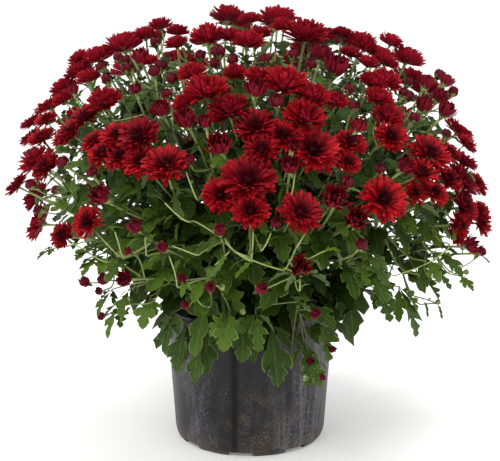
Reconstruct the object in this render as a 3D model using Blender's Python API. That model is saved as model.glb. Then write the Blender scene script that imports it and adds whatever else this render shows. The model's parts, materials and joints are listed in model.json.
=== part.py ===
"""A pot chrysanthemum: a domed garden mum in full dark red bloom, standing in a black nursery pot.

Metres, +Z up. The origin is the middle of the pot's underside, and -Y is the side that faces the viewer.
Leafy stems stand in holes in the soil and fork into stalks. The larger open blooms rest on the flared
ends of their stalks, and blooms that touch hold together as one bunch. The smaller blooms, the half-open
ones and the buds are part of the leafy stem that they grow on.
"""

import math
import random
from typing import NamedTuple

import bmesh
import bpy
from mathutils import Matrix, Vector
from mathutils.bvhtree import BVHTree

UP = Vector((0.0, 0.0, 1.0))
GAP = 0.0003

# Pot
POT_HEIGHT = 0.172
POT_SIDES = 28
WALL_TOP_RADIUS = 0.1045
WALL_FOOT_RADIUS = 0.0938
WALL_THICKNESS = 0.0020
LIP_PROUD = 0.0030
LIP_HEIGHT = 0.0140
FOOT_ROUND = 0.0110
FOOT_RING_WIDTH = 0.0090
FLOOR_LIFT = 0.0060
FLOOR_THICKNESS = 0.0022
NOTCH_COUNT = 8
NOTCH_WIDTH = 0.0300
NOTCH_TURN = math.radians(-5.0)
DRAIN_COUNT = 4
DRAIN_SIDES = 8
DRAIN_RADIUS = 0.0060
DRAIN_RING_RADIUS = 0.0480

# Soil
SOIL_TOP = 0.1500
SOIL_MOUND = 0.0060
HOLE_SIDES = 6
ROOT_DEPTH = 0.0240

# Dome of blooms, above and below its widest level
DOME_RADIUS = 0.288
DOME_WIDEST = 0.290
DOME_RISE = 0.236
DOME_DROP = 0.150
FACE_UP = 0.28
FACE_STRAY = 0.22

# The place that the dome is seen from, for heads given by where they are seen
EYE = Vector((0.0, -1.50, 0.58))
LOOK_DOWN = math.radians(12.0)
FOCAL_PX = 1237.0
MIDDLE_ACROSS_PX = 250.0
MIDDLE_DOWN_PX = 230.5

# Heads on the sides that aren't seen: o is open, h is half open, b is a bud
BACK_TRIES = 230
BACK_SPACING = 0.050
BACK_NEAREST = 0.020
BACK_LOWEST = -0.25
BACK_KINDS = "oohoobooohoobooo"

# Radii, petals, and the depth of an open bloom's underside in shares of its radius
OPEN_RADIUS = 0.0235
HALF_RADIUS = 0.0105
BUD_RADIUS = 0.0068
OPEN_DEPTH = 0.24
SEATED_PETALS = 8
GROWN_PETALS = 6
HALF_PETALS = 3

# Tip and notch of each ring of petals, and the centre: radius and height, in shares of the head's radius
OPEN_OUTER = ((1.0, 0.0), (0.68, 0.05))
OPEN_INNER = ((0.62, 0.25), (0.36, 0.16))
OPEN_CENTRE = 0.13
HALF_BASE = ((0.70, -0.40), (0.62, -0.40))
HALF_RIM = ((0.74, 0.66), (0.66, 0.30))
HALF_CENTRE = 0.05
BUD_WAIST = ((0.88, 0.0), (0.80, 0.0))
BUD_TOP = 0.92

# Spacing of the heads
NEAR_SHARE = 1.22
TOUCH_SHARE = 0.72
HEAD_GAP = 0.0010
SHIFT_ROUNDS = 30
SHIFT_STEP = 0.5

# Stems and stalks
STEM_COUNT = 17
STEM_SPREAD = 0.74
STEM_SIDES = 5
STEM_FOOT_RADIUS = 0.0032
STEM_END_RADIUS = 0.0022
STEM_STEPS = 5
STALK_RADIUS = 0.0014
STALK_SIDES = 3
STALK_KNEES = (0.42, 0.28, 0.56)
STALK_SWAYS = (0.0, 0.010, -0.010, 0.020, -0.020)
STALK_SAMPLES = 16
STALK_LOWEST = 0.52
STALK_SHIFT = 0.045
STALK_JOIN = 0.12
SEAT_SHARE = 0.14
ROOT_SPREAD = 0.066
FORK_SHARE = 0.60
COLLAR_RISE = 0.012
BEND_RISE = 0.60
BEND_OUT = 0.12
CLEARANCE = 0.0007
HEART = Vector((0.0, 0.0, 0.150))

# Leaves
LOW_LEAF_LENGTH = 0.088
LEAF_LENGTH = 0.060
STALK_LEAF_LENGTH = 0.052
LEAF_RIB_HALF = 0.0008
LEAF_FOOT_HALF = 0.0011
LEAF_DROOP = 0.62
LEAF_LOWEST = 0.26
LEAF_HIGHEST = 0.92
LEAF_LEAN = 1.3
LEAF_RISE = 0.30
LEAF_AROUND = 0.60
LEAF_STEP_TURN = 0.37
STALK_LEAF_LEAN = 0.78
STALK_LEAF_FACING = 0.20
STALK_LEAF_PART = 0.40
LEAVES_ON_STEM = 6
LEAF_LIMIT = 72

# Outline of a leaf in shares of its length: lobe, dip, lobe and dip as across, along and lift; ribs' steps
LEAF_EDGE = ((0.30, 0.40, 0.03), (0.13, 0.47, 0.0), (0.26, 0.70, -0.02), (0.11, 0.75, 0.0))
LEAF_RIB_STEPS = (0.44, 0.72)

# Colour and roughness of each material
POT_FINISH = ((0.030, 0.030, 0.037), 0.50)
SOIL_FINISH = ((0.050, 0.035, 0.025), 0.95)
PETAL_FINISH = ((0.420, 0.008, 0.020), 0.55)
LEAF_FINISH = ((0.090, 0.160, 0.050), 0.60)

# Making of the nodes
LAYOUT_SEED = 2
RED_NODES = 41
FLAT_ANGLE = 0.035
SMOOTH_ANGLE = math.radians(35.0)
MERGE_DISTANCE = 1e-6
GOLDEN_TURN = math.pi * (3.0 - math.sqrt(5.0))


class Seen(NamedTuple):
    """A bloom or bud where it is seen: its middle and its width, in pixels of the view from EYE."""

    across: float
    down: float
    width: float


class Head(NamedTuple):
    """A bloom or bud on the dome: its kind, its middle, the way it faces, and its radius."""

    kind: str
    middle: Vector
    facing: Vector
    radius: float


class Stalk(NamedTuple):
    """A stalk: the head that it carries, and its route from the stem to the head's underside."""

    head: int
    route: tuple


class Stem(NamedTuple):
    """A main stem: its route up from the soil, and the stalks that it forks into."""

    route: tuple
    stalks: tuple


class Leaf(NamedTuple):
    """A leaf: the stem it grows on, which of its shapes, its foot, its direction, upper side and length."""

    stem: int
    host: int
    foot: Vector
    along: Vector
    upper: Vector
    length: float


OPEN_SEEN = (
    Seen(228, 14, 36), Seen(250, 18, 24), Seen(279, 23, 26), Seen(204, 34, 38), Seen(232, 34, 26),
    Seen(252, 40, 36), Seen(309, 33, 46), Seen(338, 31, 24), Seen(364, 41, 34),
    Seen(390, 38, 26), Seen(410, 58, 36), Seen(388, 60, 28), Seen(160, 27, 28), Seen(177, 30, 24),
    Seen(127, 43, 42), Seen(96, 47, 34), Seen(76, 66, 32), Seen(87, 76, 26), Seen(57, 95, 30),
    Seen(38, 113, 32), Seen(82, 114, 32), Seen(64, 133, 32), Seen(40, 135, 30), Seen(32, 158, 38),
    Seen(14, 184, 28), Seen(183, 57, 30), Seen(193, 80, 48), Seen(209, 98, 44), Seen(243, 71, 28),
    Seen(246, 122, 44), Seen(256, 147, 38), Seen(285, 83, 50), Seen(322, 94, 38), Seen(370, 72, 30),
    Seen(372, 92, 30), Seen(390, 79, 32), Seen(397, 118, 34), Seen(92, 142, 32), Seen(117, 134, 34),
    Seen(135, 135, 44), Seen(108, 161, 34), Seen(143, 161, 36), Seen(177, 160, 48), Seen(238, 190, 58),
    Seen(252, 218, 38), Seen(291, 128, 38), Seen(328, 122, 44), Seen(340, 151, 54), Seen(304, 210, 44),
    Seen(386, 198, 48), Seen(393, 144, 36), Seen(434, 146, 46), Seen(466, 151, 30), Seen(421, 178, 34),
    Seen(437, 192, 30), Seen(466, 181, 40), Seen(470, 205, 36), Seen(484, 222, 30), Seen(460, 232, 28),
    Seen(85, 222, 34), Seen(60, 235, 28), Seen(107, 97, 38),
)
HALF_SEEN = (
    Seen(73, 90, 14), Seen(337, 68, 26), Seen(156, 115, 20), Seen(188, 121, 24), Seen(204, 119, 16),
    Seen(100, 198, 22), Seen(220, 149, 26), Seen(297, 160, 20), Seen(335, 199, 28), Seen(309, 146, 16),
    Seen(356, 221, 24), Seen(408, 169, 18), Seen(427, 83, 18), Seen(447, 82, 16), Seen(441, 97, 18),
    Seen(425, 106, 20), Seen(447, 112, 20), Seen(250, 100, 22), Seen(301, 269, 22),
    Seen(125, 280, 18), Seen(359, 127, 18), Seen(471, 247, 18), Seen(140, 57, 18), Seen(322, 54, 20),
)
BUD_SEEN = (
    Seen(135, 90, 13), Seen(154, 72, 14), Seen(218, 53, 16), Seen(210, 288, 13), Seen(315, 315, 12),
    Seen(220, 231, 14), Seen(362, 246, 14), Seen(162, 248, 13), Seen(135, 228, 16), Seen(63, 164, 14),
    Seen(93, 170, 13), Seen(280, 108, 16), Seen(404, 94, 13), Seen(481, 253, 11), Seen(343, 190, 15),
)


def sight_line(seen: Seen) -> Vector:
    """Direction from EYE through a seen head."""
    forward = Vector((0.0, math.cos(LOOK_DOWN), -math.sin(LOOK_DOWN)))
    rise = Vector((0.0, math.sin(LOOK_DOWN), math.cos(LOOK_DOWN)))
    across = (seen.across - MIDDLE_ACROSS_PX) / FOCAL_PX
    up = (MIDDLE_DOWN_PX - seen.down) / FOCAL_PX
    return forward + Vector((across, 0.0, 0.0)) + rise * up


def on_dome(seen: Seen) -> Vector:
    """Where a sight line meets the dome, or passes it closest."""
    line = sight_line(seen)
    place = EYE
    for reach in (DOME_RISE, DOME_DROP):
        squeeze = Vector((1.0 / DOME_RADIUS, 1.0 / DOME_RADIUS, 1.0 / reach))
        start = (EYE - UP * DOME_WIDEST) * squeeze
        run = line * squeeze
        nearest = -start.dot(run) / run.dot(run)
        spare = nearest ** 2 - (start.dot(start) - 1.0) / run.dot(run)
        place = EYE + line * (nearest - math.sqrt(max(spare, 0.0)))
        if place.z > DOME_WIDEST:
            break
    return place


def dome_facing(place: Vector, draw: random.Random) -> Vector:
    """Outward direction of a head at a place on the dome, a little upwards and a little astray."""
    reach = DOME_RISE if place.z > DOME_WIDEST else DOME_DROP * 2.0
    rise = (place.z - DOME_WIDEST) / reach ** 2
    out = Vector((place.x / DOME_RADIUS ** 2, place.y / DOME_RADIUS ** 2, rise))
    stray = Vector([draw.uniform(-FACE_STRAY, FACE_STRAY) for _ in range(3)])
    return (out.normalized() + UP * FACE_UP + stray).normalized()


def seen_heads(draw: random.Random) -> list:
    """Heads of the side that is seen, each on its own line of sight."""
    heads = []
    for kind, group in (("open", OPEN_SEEN), ("half", HALF_SEEN), ("bud", BUD_SEEN)):
        for seen in group:
            place = on_dome(seen)
            distance = (place - EYE).length
            radius = seen.width / 2.0 * distance / FOCAL_PX
            heads.append(Head(kind, place, dome_facing(place, draw), radius))
    return heads


def back_heads(front: list, draw: random.Random) -> list:
    """Heads of the far side, on a golden spiral round the dome, clear of the ones in front."""
    heads = []
    kinds = {"o": ("open", OPEN_RADIUS), "h": ("half", HALF_RADIUS), "b": ("bud", BUD_RADIUS)}
    for step in range(BACK_TRIES):
        level = 1.0 - (1.0 - BACK_LOWEST) * (step + 0.5) / BACK_TRIES
        turn = step * GOLDEN_TURN
        ring = math.sqrt(1.0 - level ** 2) * DOME_RADIUS
        reach = DOME_RISE if level > 0.0 else DOME_DROP
        place = Vector((ring * math.cos(turn), ring * math.sin(turn), DOME_WIDEST + level * reach))
        if place.y < BACK_NEAREST:
            continue
        if any((place - head.middle).length < BACK_SPACING for head in front + heads):
            continue
        kind, radius = kinds[BACK_KINDS[len(heads) % len(BACK_KINDS)]]
        heads.append(Head(kind, place, dome_facing(place, draw), radius * draw.uniform(0.85, 1.18)))
    return heads


def spaced(heads: list) -> list:
    """Shift heads along the dome: near blooms till their petals meet, the others till they stand clear."""
    places = [head.middle.copy() for head in heads]
    pairs = [(one, two) for one in range(len(heads)) for two in range(one)]
    reaches = {pair: heads[pair[0]].radius + heads[pair[1]].radius for pair in pairs}
    near = {pair for pair in pairs if all(heads[index].kind == "open" for index in pair)
            and (places[pair[0]] - places[pair[1]]).length < reaches[pair] * NEAR_SHARE}
    for _ in range(SHIFT_ROUNDS):
        for pair in pairs:
            one, two = pair
            apart = places[one] - places[two]
            least = reaches[pair] * TOUCH_SHARE if pair in near else reaches[pair] + HEAD_GAP
            if pair not in near and apart.length >= least:
                continue
            push = apart.normalized() * (least - apart.length) * SHIFT_STEP
            share = heads[two].radius / reaches[pair]
            places[one] += push * share
            places[two] -= push * (1.0 - share)
    return [head._replace(middle=place) for head, place in zip(heads, places)]


def lay_out_heads() -> list:
    """All heads of the dome."""
    draw = random.Random(LAYOUT_SEED)
    front = seen_heads(draw)
    return spaced(front + back_heads(front, draw))


def head_foot(head: Head) -> Vector:
    """Lowest point of a head's underside, where its stalk meets it."""
    depth = {"open": OPEN_DEPTH, "half": 1.0, "bud": 1.0}[head.kind]
    return head.middle - head.facing * head.radius * depth


def stem_directions() -> list:
    """Directions from the plant's heart towards the middle of each stem's share of the dome."""
    directions = []
    for step in range(STEM_COUNT):
        level = 1.0 - (step + 0.5) / STEM_COUNT * STEM_SPREAD
        turn = step * GOLDEN_TURN
        ring = math.sqrt(1.0 - level ** 2)
        directions.append(Vector((ring * math.cos(turn), ring * math.sin(turn), level)))
    return directions


def stem_route(direction: Vector, heads: list) -> tuple:
    """A main stem's points: down in the soil, straight up out of it, then in a curve to its fork."""
    middle = sum((head_foot(head) for head in heads), Vector()) / len(heads)
    fork = HEART + (middle - HEART) * FORK_SHARE
    root = Vector((direction.x, direction.y, 0.0)) * ROOT_SPREAD + UP * (SOIL_TOP - ROOT_DEPTH)
    collar = root + UP * (ROOT_DEPTH + COLLAR_RISE)
    bend = collar + UP * (fork.z - collar.z) * BEND_RISE + (fork - collar) * BEND_OUT
    route = [root]
    for step in range(STEM_STEPS):
        part = step / (STEM_STEPS - 1)
        route.append(collar * (1.0 - part) ** 2 + bend * 2.0 * part * (1.0 - part) + fork * part ** 2)
    return tuple(route)


def along_route(route: tuple, part: float) -> Vector:
    """Point at a share of a route's points, counted from its start."""
    place = part * (len(route) - 1)
    low = min(int(place), len(route) - 2)
    return route[low].lerp(route[low + 1], place - low)


def segment_gap(a: Vector, b: Vector, c: Vector, d: Vector) -> float:
    """Least distance between the straight pieces a to b and c to d."""
    u = b - a
    v = d - c
    w = a - c
    uu, uv, vv, uw, vw = u.dot(u), u.dot(v), v.dot(v), u.dot(w), v.dot(w)
    bottom = uu * vv - uv * uv
    s = 0.0 if bottom < 1e-12 else min(max((uv * vw - vv * uw) / bottom, 0.0), 1.0)
    t = (uv * s + vw) / vv
    if t < 0.0 or t > 1.0:
        t = min(max(t, 0.0), 1.0)
        s = min(max((uv * t - uw) / uu, 0.0), 1.0)
    return (w + u * s - v * t).length


def head_blocks(head: Head, low: Vector, high: Vector) -> bool:
    """Whether a straight stalk piece runs through a head."""
    run = high - low
    nearest = min(max((head.middle - low).dot(run) / run.length_squared, 0.0), 1.0)
    beside = (low + run * nearest - head.middle).length
    if head.kind != "open":
        return beside < head.radius + STALK_RADIUS + CLEARANCE
    if beside > head.radius + STALK_RADIUS + CLEARANCE:
        return False
    for step in range(STALK_SAMPLES + 1):
        local = low + run * (step / STALK_SAMPLES) - head.middle
        height = local.dot(head.facing) / head.radius
        out = (local.length_squared / head.radius ** 2 - height ** 2) ** 0.5
        slack = (STALK_RADIUS + CLEARANCE) / head.radius
        if out < 1.0 + slack and -OPEN_DEPTH * max(1.0 - out, 0.0) - slack * 1.2 < height < 0.3 + slack:
            return True
    return False


def stalk_route(stem: tuple, head: Head, leave: float, bend: float, sway: float) -> tuple:
    """A stalk's points: from the stem, by a knee that may sway to one side, into the head's underside."""
    start = along_route(stem, leave)
    foot = head_foot(head)
    aside = head.facing.cross(foot - start).normalized() * sway
    knee = foot - head.facing * (foot - start).length * bend + aside
    return (start, knee, foot)


def route_clear(route: tuple, own: int, stem: int, heads: list, taken: list) -> bool:
    """Whether a stalk keeps off the other stalks, once it has left its stem, and off every other head."""
    for low, high in zip(route, route[1:]):
        away = low.lerp(high, STALK_JOIN) if low == route[0] else low
        for other, a, b, radius in taken:
            if segment_gap(away if other == stem else low, high, a, b) < radius + STALK_RADIUS + CLEARANCE:
                return False
        if any(head_blocks(head, low, high) for index, head in enumerate(heads) if index != own):
            return False
    return True


def stalk_tries(route: tuple, head: Head, rank: float) -> list:
    """Routes that a stalk could take, the likeliest first; heads far off the stem leave it lower down."""
    leave = 1.0 - (1.0 - STALK_LOWEST) * rank
    shifts = sorted((step * STALK_SHIFT for step in range(-9, 10)), key=abs)
    leaves = [leave + shift for shift in shifts if STALK_LOWEST <= leave + shift <= 1.0]
    return [stalk_route(route, head, start, bend, sway)
            for sway in STALK_SWAYS for start in leaves for bend in STALK_KNEES]


def lay_out_stems(heads: list) -> list:
    """Main stems with the stalks that carry the heads nearest to their directions."""
    directions = stem_directions()
    shares = [[] for _ in directions]
    for index, head in enumerate(heads):
        line = (head.middle - HEART).normalized()
        nearest = max(range(len(directions)), key=lambda stem: directions[stem].dot(line))
        shares[nearest].append(index)
    routes = [stem_route(direction, [heads[index] for index in share])
              for direction, share in zip(directions, shares)]
    taken = []
    for stem, route in enumerate(routes):
        taken += [(-stem - 1, low, high, STEM_FOOT_RADIUS) for low, high in zip(route, route[1:])]
    stems = []
    for stem, (route, share) in enumerate(zip(routes, shares)):
        axis = (route[-1] - route[-2]).normalized()
        share.sort(key=lambda index: -(heads[index].middle - route[-1]).normalized().dot(axis))
        stalks = []
        others = [item for item in taken if item[0] != -stem - 1]
        for rank, index in enumerate(share):
            tries = stalk_tries(route, heads[index], (rank + 0.5) / len(share))
            clear = (points for points in tries if route_clear(points, index, stem, heads, others))
            points = next(clear, tries[0])
            stalks.append(Stalk(index, points))
            pieces = [(stem, low, high, STALK_RADIUS) for low, high in zip(points, points[1:])]
            taken += pieces
            others += pieces
        stems.append(Stem(route, tuple(stalks)))
    return stems


def lay_out_leaves(heads: list, stems: list) -> list:
    """Leaves up each stem, then one on each stalk; the lowest are the longest, and lean out the most."""
    leaves = []
    for index, stem in enumerate(stems):
        out = Vector((stem.route[-1].x, stem.route[-1].y, 0.0)).normalized()
        for step in range(LEAVES_ON_STEM):
            part = step / (LEAVES_ON_STEM - 1)
            foot = along_route(stem.route, LEAF_LOWEST + (LEAF_HIGHEST - LEAF_LOWEST) * part)
            turn = (step + index * LEAF_STEP_TURN) * GOLDEN_TURN
            around = Vector((math.cos(turn), math.sin(turn), 0.0))
            lean = out * (LEAF_LEAN - part / 2.0) + around * (LEAF_AROUND + part / 2.0)
            along = (lean + UP * LEAF_RISE).normalized()
            length = LOW_LEAF_LENGTH + (LEAF_LENGTH - LOW_LEAF_LENGTH) * part
            leaves.append(Leaf(index, 0, foot, along, UP, length))
    leaves.sort(key=lambda leaf: leaf.foot.z)
    stalk_leaves = []
    for index, stem in enumerate(stems):
        for host, stalk in enumerate(stem.stalks, 1):
            turn = stalk.head * GOLDEN_TURN
            around = Vector((math.cos(turn), math.sin(turn), 0.0))
            foot = along_route(stalk.route, STALK_LEAF_PART)
            out = Vector((foot.x, foot.y, 0.0)).normalized()
            facing = heads[stalk.head].facing * STALK_LEAF_FACING
            along = (out * STALK_LEAF_LEAN + around + facing).normalized()
            stalk_leaves.append(Leaf(index, host, foot, along, UP, STALK_LEAF_LENGTH))
    return leaves + sorted(stalk_leaves, key=lambda leaf: leaf.foot.z)


def material(name: str, colour: tuple, roughness: float) -> bpy.types.Material:
    """A plain Principled material."""
    finish = bpy.data.materials.new(name)
    finish.use_nodes = True
    shader = finish.node_tree.nodes["Principled BSDF"]
    shader.inputs["Base Color"].default_value = (*colour, 1.0)
    shader.inputs["Roughness"].default_value = roughness
    shader.inputs["Metallic"].default_value = 0.0
    return finish


def new_object(name: str, shape: bmesh.types.BMesh, finish: bpy.types.Material) -> bpy.types.Object:
    """An object that holds the finished shape."""
    mesh = bpy.data.meshes.new(name)
    shape.to_mesh(mesh)
    shape.free()
    mesh.materials.append(finish)
    piece = bpy.data.objects.new(name, mesh)
    bpy.context.scene.collection.objects.link(piece)
    return piece


def loft(rings: list) -> bmesh.types.BMesh:
    """A closed skin over rings of points.

    A ring of one point closes the skin, and a ring may have a whole number of times the points of the
    ring before it.
    """
    shape = bmesh.new()
    loops = [[shape.verts.new(point) for point in ring] for ring in rings]
    for low, high in zip(loops, loops[1:]):
        if len(high) == 1:
            for step, point in enumerate(low):
                shape.faces.new((point, low[(step + 1) % len(low)], high[0]))
            continue
        times = len(high) // len(low)
        for step in range(len(high)):
            here = low[step // times]
            after = high[(step + 1) % len(high)]
            shape.faces.new((here, after, high[step]))
            if (step + 1) % times == 0 and len(low) > 1:
                shape.faces.new((here, low[(step // times + 1) % len(low)], after))
    for loop in (loops[0], loops[-1]):
        if len(loop) > 1:
            shape.faces.new(loop)
    bmesh.ops.triangulate(shape, faces=[face for face in shape.faces if len(face.verts) > 3])
    bmesh.ops.recalc_face_normals(shape, faces=shape.faces)
    return shape


def tube_rings(route: list, radii: list, sides: int, spoke: Vector) -> list:
    """Rings of a round bar along a route; the last ring has a corner on the side of the spoke."""
    runs = [(high - low).normalized() for low, high in zip(route, route[1:])]
    lines = [runs[0]] + [(one + two).normalized() for one, two in zip(runs, runs[1:])] + [runs[-1]]
    rings = []
    side = spoke
    for point, line, radius in reversed(list(zip(route, lines, radii))):
        side = (side - line * side.dot(line)).normalized()
        other = line.cross(side)
        turns = [2.0 * math.pi * step / sides for step in range(sides)]
        rings.append([point + (side * math.cos(turn) + other * math.sin(turn)) * radius for turn in turns])
    return rings[::-1]


def head_frame(head: Head, turn: float) -> Matrix:
    """Placing of a head: its middle, its facing as local Z, turned about that, and its radius as scale."""
    face = head.facing.to_track_quat("Z", "Y").to_matrix().to_4x4()
    spin = Matrix.Rotation(turn, 4, "Z")
    return Matrix.Translation(head.middle) @ face @ spin @ Matrix.Scale(head.radius, 4)


def wavy_ring(count: int, tip: tuple, notch: tuple, odd: bool) -> list:
    """A ring whose points go out to a tip and back to a notch in turn; each is a radius and a height."""
    ring = []
    for step in range(count * 2):
        turn = math.pi * step / count
        radius, height = tip if (step % 2 == 1) == odd else notch
        ring.append(Vector((radius * math.cos(turn), radius * math.sin(turn), height)))
    return ring


def head_rings(head: Head, turn: float, petals: int) -> list:
    """Rings of a head above its foot: petals in two layers, a cup of petals, or a bud."""
    if head.kind == "open":
        rings = [wavy_ring(petals, *OPEN_OUTER, False), wavy_ring(petals, *OPEN_INNER, True),
                 [UP * OPEN_CENTRE]]
    elif head.kind == "half":
        rings = [wavy_ring(HALF_PETALS, *HALF_BASE, False), wavy_ring(HALF_PETALS, *HALF_RIM, False),
                 [UP * HALF_CENTRE]]
    else:
        rings = [wavy_ring(HALF_PETALS, *BUD_WAIST, False), [UP * BUD_TOP]]
    frame = head_frame(head, turn)
    return [[frame @ point for point in ring] for ring in rings]


def seated_bloom(head: Head, turn: float) -> bmesh.types.BMesh:
    """An open bloom that rests on its stalk: two layers of petals over a cone."""
    return loft([[head_foot(head)]] + head_rings(head, turn, SEATED_PETALS))


def stalk_shape(stalk: Stalk, head: Head, turn: float, seated: bool) -> bmesh.types.BMesh:
    """A stalk: it flares under a seated bloom, and any other head grows out of its end."""
    start, knee, foot = stalk.route
    spoke = (head_frame(head, turn).to_3x3() @ Vector((1.0, 0.0, 0.0))).normalized()
    if seated:
        end = foot - head.facing * GAP
        radii = [STALK_RADIUS] * 2 + [head.radius * SEAT_SHARE]
        return loft(tube_rings([start, knee, end], radii, STALK_SIDES, spoke))
    rings = tube_rings([start, knee, foot], [STALK_RADIUS] * 3, STALK_SIDES, spoke)
    return loft(rings + head_rings(head, turn, GROWN_PETALS))


def stem_shape(stem: Stem) -> bmesh.types.BMesh:
    """A main stem, thinner towards its fork."""
    count = len(stem.route)
    radii = [STEM_FOOT_RADIUS + (STEM_END_RADIUS - STEM_FOOT_RADIUS) * step / (count - 1)
             for step in range(count)]
    return loft(tube_rings(list(stem.route), radii, STEM_SIDES, Vector((1.0, 0.0, 0.0))))


def leaf_shape(leaf: Leaf) -> bmesh.types.BMesh:
    """A leaf: a blade with two lobes a side and a tip, thickest along its rib, drooping to its tip."""
    side = leaf.along.cross(leaf.upper).normalized()
    upper = side.cross(leaf.along).normalized()

    def place(across: float, along: float, lift: float) -> Vector:
        down = LEAF_DROOP * along * along
        flat = side * across + leaf.along * along + upper * (lift - down * 0.5) - UP * down * 0.5
        return leaf.foot + flat * leaf.length

    shape = bmesh.new()
    thick = LEAF_RIB_HALF / leaf.length
    foot = LEAF_FOOT_HALF / leaf.length
    foot_top, foot_low = (shape.verts.new(place(0.0, 0.0, lift)) for lift in (thick, -thick))
    ribs = [[shape.verts.new(place(0.0, along, lift)) for along in LEAF_RIB_STEPS]
            for lift in (thick, -thick)]
    tip = shape.verts.new(place(0.0, 1.0, 0.0))
    corners = []
    for hand in (-1.0, 1.0):
        edge = [shape.verts.new(place(hand * across, along, lift)) for across, along, lift in LEAF_EDGE]
        corner = shape.verts.new(place(hand * foot, 0.0, 0.0))
        corners.append(corner)
        lobe_one, dip_one, lobe_two, dip_two = edge
        for top, (rib_one, rib_two) in zip((foot_top, foot_low), ribs):
            shape.faces.new((top, corner, lobe_one))
            shape.faces.new((top, lobe_one, rib_one))
            shape.faces.new((rib_one, lobe_one, dip_one))
            shape.faces.new((rib_one, dip_one, rib_two))
            shape.faces.new((rib_two, dip_one, lobe_two))
            shape.faces.new((rib_two, lobe_two, dip_two))
            shape.faces.new((rib_two, dip_two, tip))
    shape.faces.new((foot_top, corners[0], foot_low))
    shape.faces.new((foot_top, foot_low, corners[1]))
    bmesh.ops.recalc_face_normals(shape, faces=shape.faces)
    return shape


def fused(name: str, shapes: list, finish: bpy.types.Material) -> bpy.types.Object:
    """One object from shapes that cross each other, joined by one Boolean union on a collection."""
    piece = new_object(name, shapes[0], finish)
    if len(shapes) == 1:
        return piece
    parts = bpy.data.collections.new(name)
    for shape in shapes[1:]:
        part = new_object(name, shape, finish)
        bpy.context.scene.collection.objects.unlink(part)
        parts.objects.link(part)
    union = piece.modifiers.new("Union", "BOOLEAN")
    union.operation = "UNION"
    union.operand_type = "COLLECTION"
    union.collection = parts
    whole = bpy.data.meshes.new_from_object(piece.evaluated_get(bpy.context.evaluated_depsgraph_get()))
    piece.modifiers.clear()
    piece.data = whole
    for part in list(parts.objects):
        bpy.data.objects.remove(part)
    bpy.data.collections.remove(parts)
    tidy_faces(piece)
    return piece


def tidy_faces(piece: bpy.types.Object) -> None:
    """Join the slivers that a Boolean leaves in flat faces, and split the faces into triangles again."""
    shape = bmesh.new()
    shape.from_mesh(piece.data)
    bmesh.ops.dissolve_limit(shape, angle_limit=FLAT_ANGLE, verts=shape.verts, edges=shape.edges)
    bmesh.ops.triangulate(shape, faces=shape.faces)
    shape.to_mesh(piece.data)
    shape.free()


def bunches(heads: list, trees: dict) -> list:
    """Open blooms in groups that touch, the largest groups first."""
    group = {index: {index} for index in trees}
    for one in trees:
        for two in trees:
            if two < one and group[one] is not group[two] and trees[one].overlap(trees[two]):
                merged = group[one] | group[two]
                for index in merged:
                    group[index] = merged
    groups = {min(members): sorted(members) for members in group.values()}
    size = {first: (len(members), sum(heads[index].radius for index in members))
            for first, members in groups.items()}
    return [groups[first] for first in sorted(groups, key=lambda first: size[first], reverse=True)]


def pot_profile() -> list:
    """Half of the pot's section, as radius and height, from the middle of the inside floor outwards."""
    floor_top = FLOOR_LIFT + FLOOR_THICKNESS
    lip_low = POT_HEIGHT - LIP_HEIGHT
    ring = WALL_FOOT_RADIUS - FOOT_RING_WIDTH
    rounding = FOOT_ROUND * 0.3
    return [
        (0.0, floor_top),
        (wall_radius(floor_top) - WALL_THICKNESS * 2.0, floor_top),
        (wall_radius(POT_HEIGHT) - WALL_THICKNESS, POT_HEIGHT - WALL_THICKNESS * 0.4),
        (wall_radius(POT_HEIGHT) + LIP_PROUD * 0.4, POT_HEIGHT),
        (wall_radius(POT_HEIGHT) + LIP_PROUD, POT_HEIGHT - WALL_THICKNESS),
        (wall_radius(lip_low) + LIP_PROUD, lip_low),
        (wall_radius(lip_low), lip_low - WALL_THICKNESS * 0.5),
        (wall_radius(FOOT_ROUND), FOOT_ROUND),
        (WALL_FOOT_RADIUS - rounding * 0.4, rounding),
        (WALL_FOOT_RADIUS - rounding * 1.6, 0.0),
        (ring, 0.0),
        (ring - WALL_THICKNESS, FLOOR_LIFT),
        (0.0, FLOOR_LIFT),
    ]


def wall_radius(height: float) -> float:
    """Radius of the pot wall's outer face at a height."""
    rise = POT_HEIGHT - LIP_HEIGHT
    return WALL_FOOT_RADIUS + (WALL_TOP_RADIUS - WALL_FOOT_RADIUS) * height / rise


def turned(profile: list, sides: int) -> bmesh.types.BMesh:
    """A body turned about Z from half of its section, which starts and ends on the axis."""
    shape = bmesh.new()
    points = [shape.verts.new((radius, 0.0, height)) for radius, height in profile]
    edges = [shape.edges.new(pair) for pair in zip(points, points[1:])]
    bmesh.ops.spin(shape, geom=points + edges, cent=(0.0, 0.0, 0.0), axis=(0.0, 0.0, 1.0),
                   angle=2.0 * math.pi, steps=sides, use_merge=True)
    bmesh.ops.remove_doubles(shape, verts=shape.verts, dist=MERGE_DISTANCE)
    bmesh.ops.recalc_face_normals(shape, faces=shape.faces)
    return shape


def cut(piece: bpy.types.Object, cutters: list) -> None:
    """Cut shapes out of an object, and leave the plain mesh."""
    finish = piece.data.materials[0]
    guides = bpy.data.collections.new("cutters")
    for shape in cutters:
        guide = new_object("cutter", shape, finish)
        bpy.context.scene.collection.objects.unlink(guide)
        guides.objects.link(guide)
    hollow = piece.modifiers.new("Cut", "BOOLEAN")
    hollow.operation = "DIFFERENCE"
    hollow.operand_type = "COLLECTION"
    hollow.collection = guides
    whole = bpy.data.meshes.new_from_object(piece.evaluated_get(bpy.context.evaluated_depsgraph_get()))
    piece.modifiers.clear()
    piece.data = whole
    for guide in list(guides.objects):
        bpy.data.objects.remove(guide)
    bpy.data.collections.remove(guides)


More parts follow.
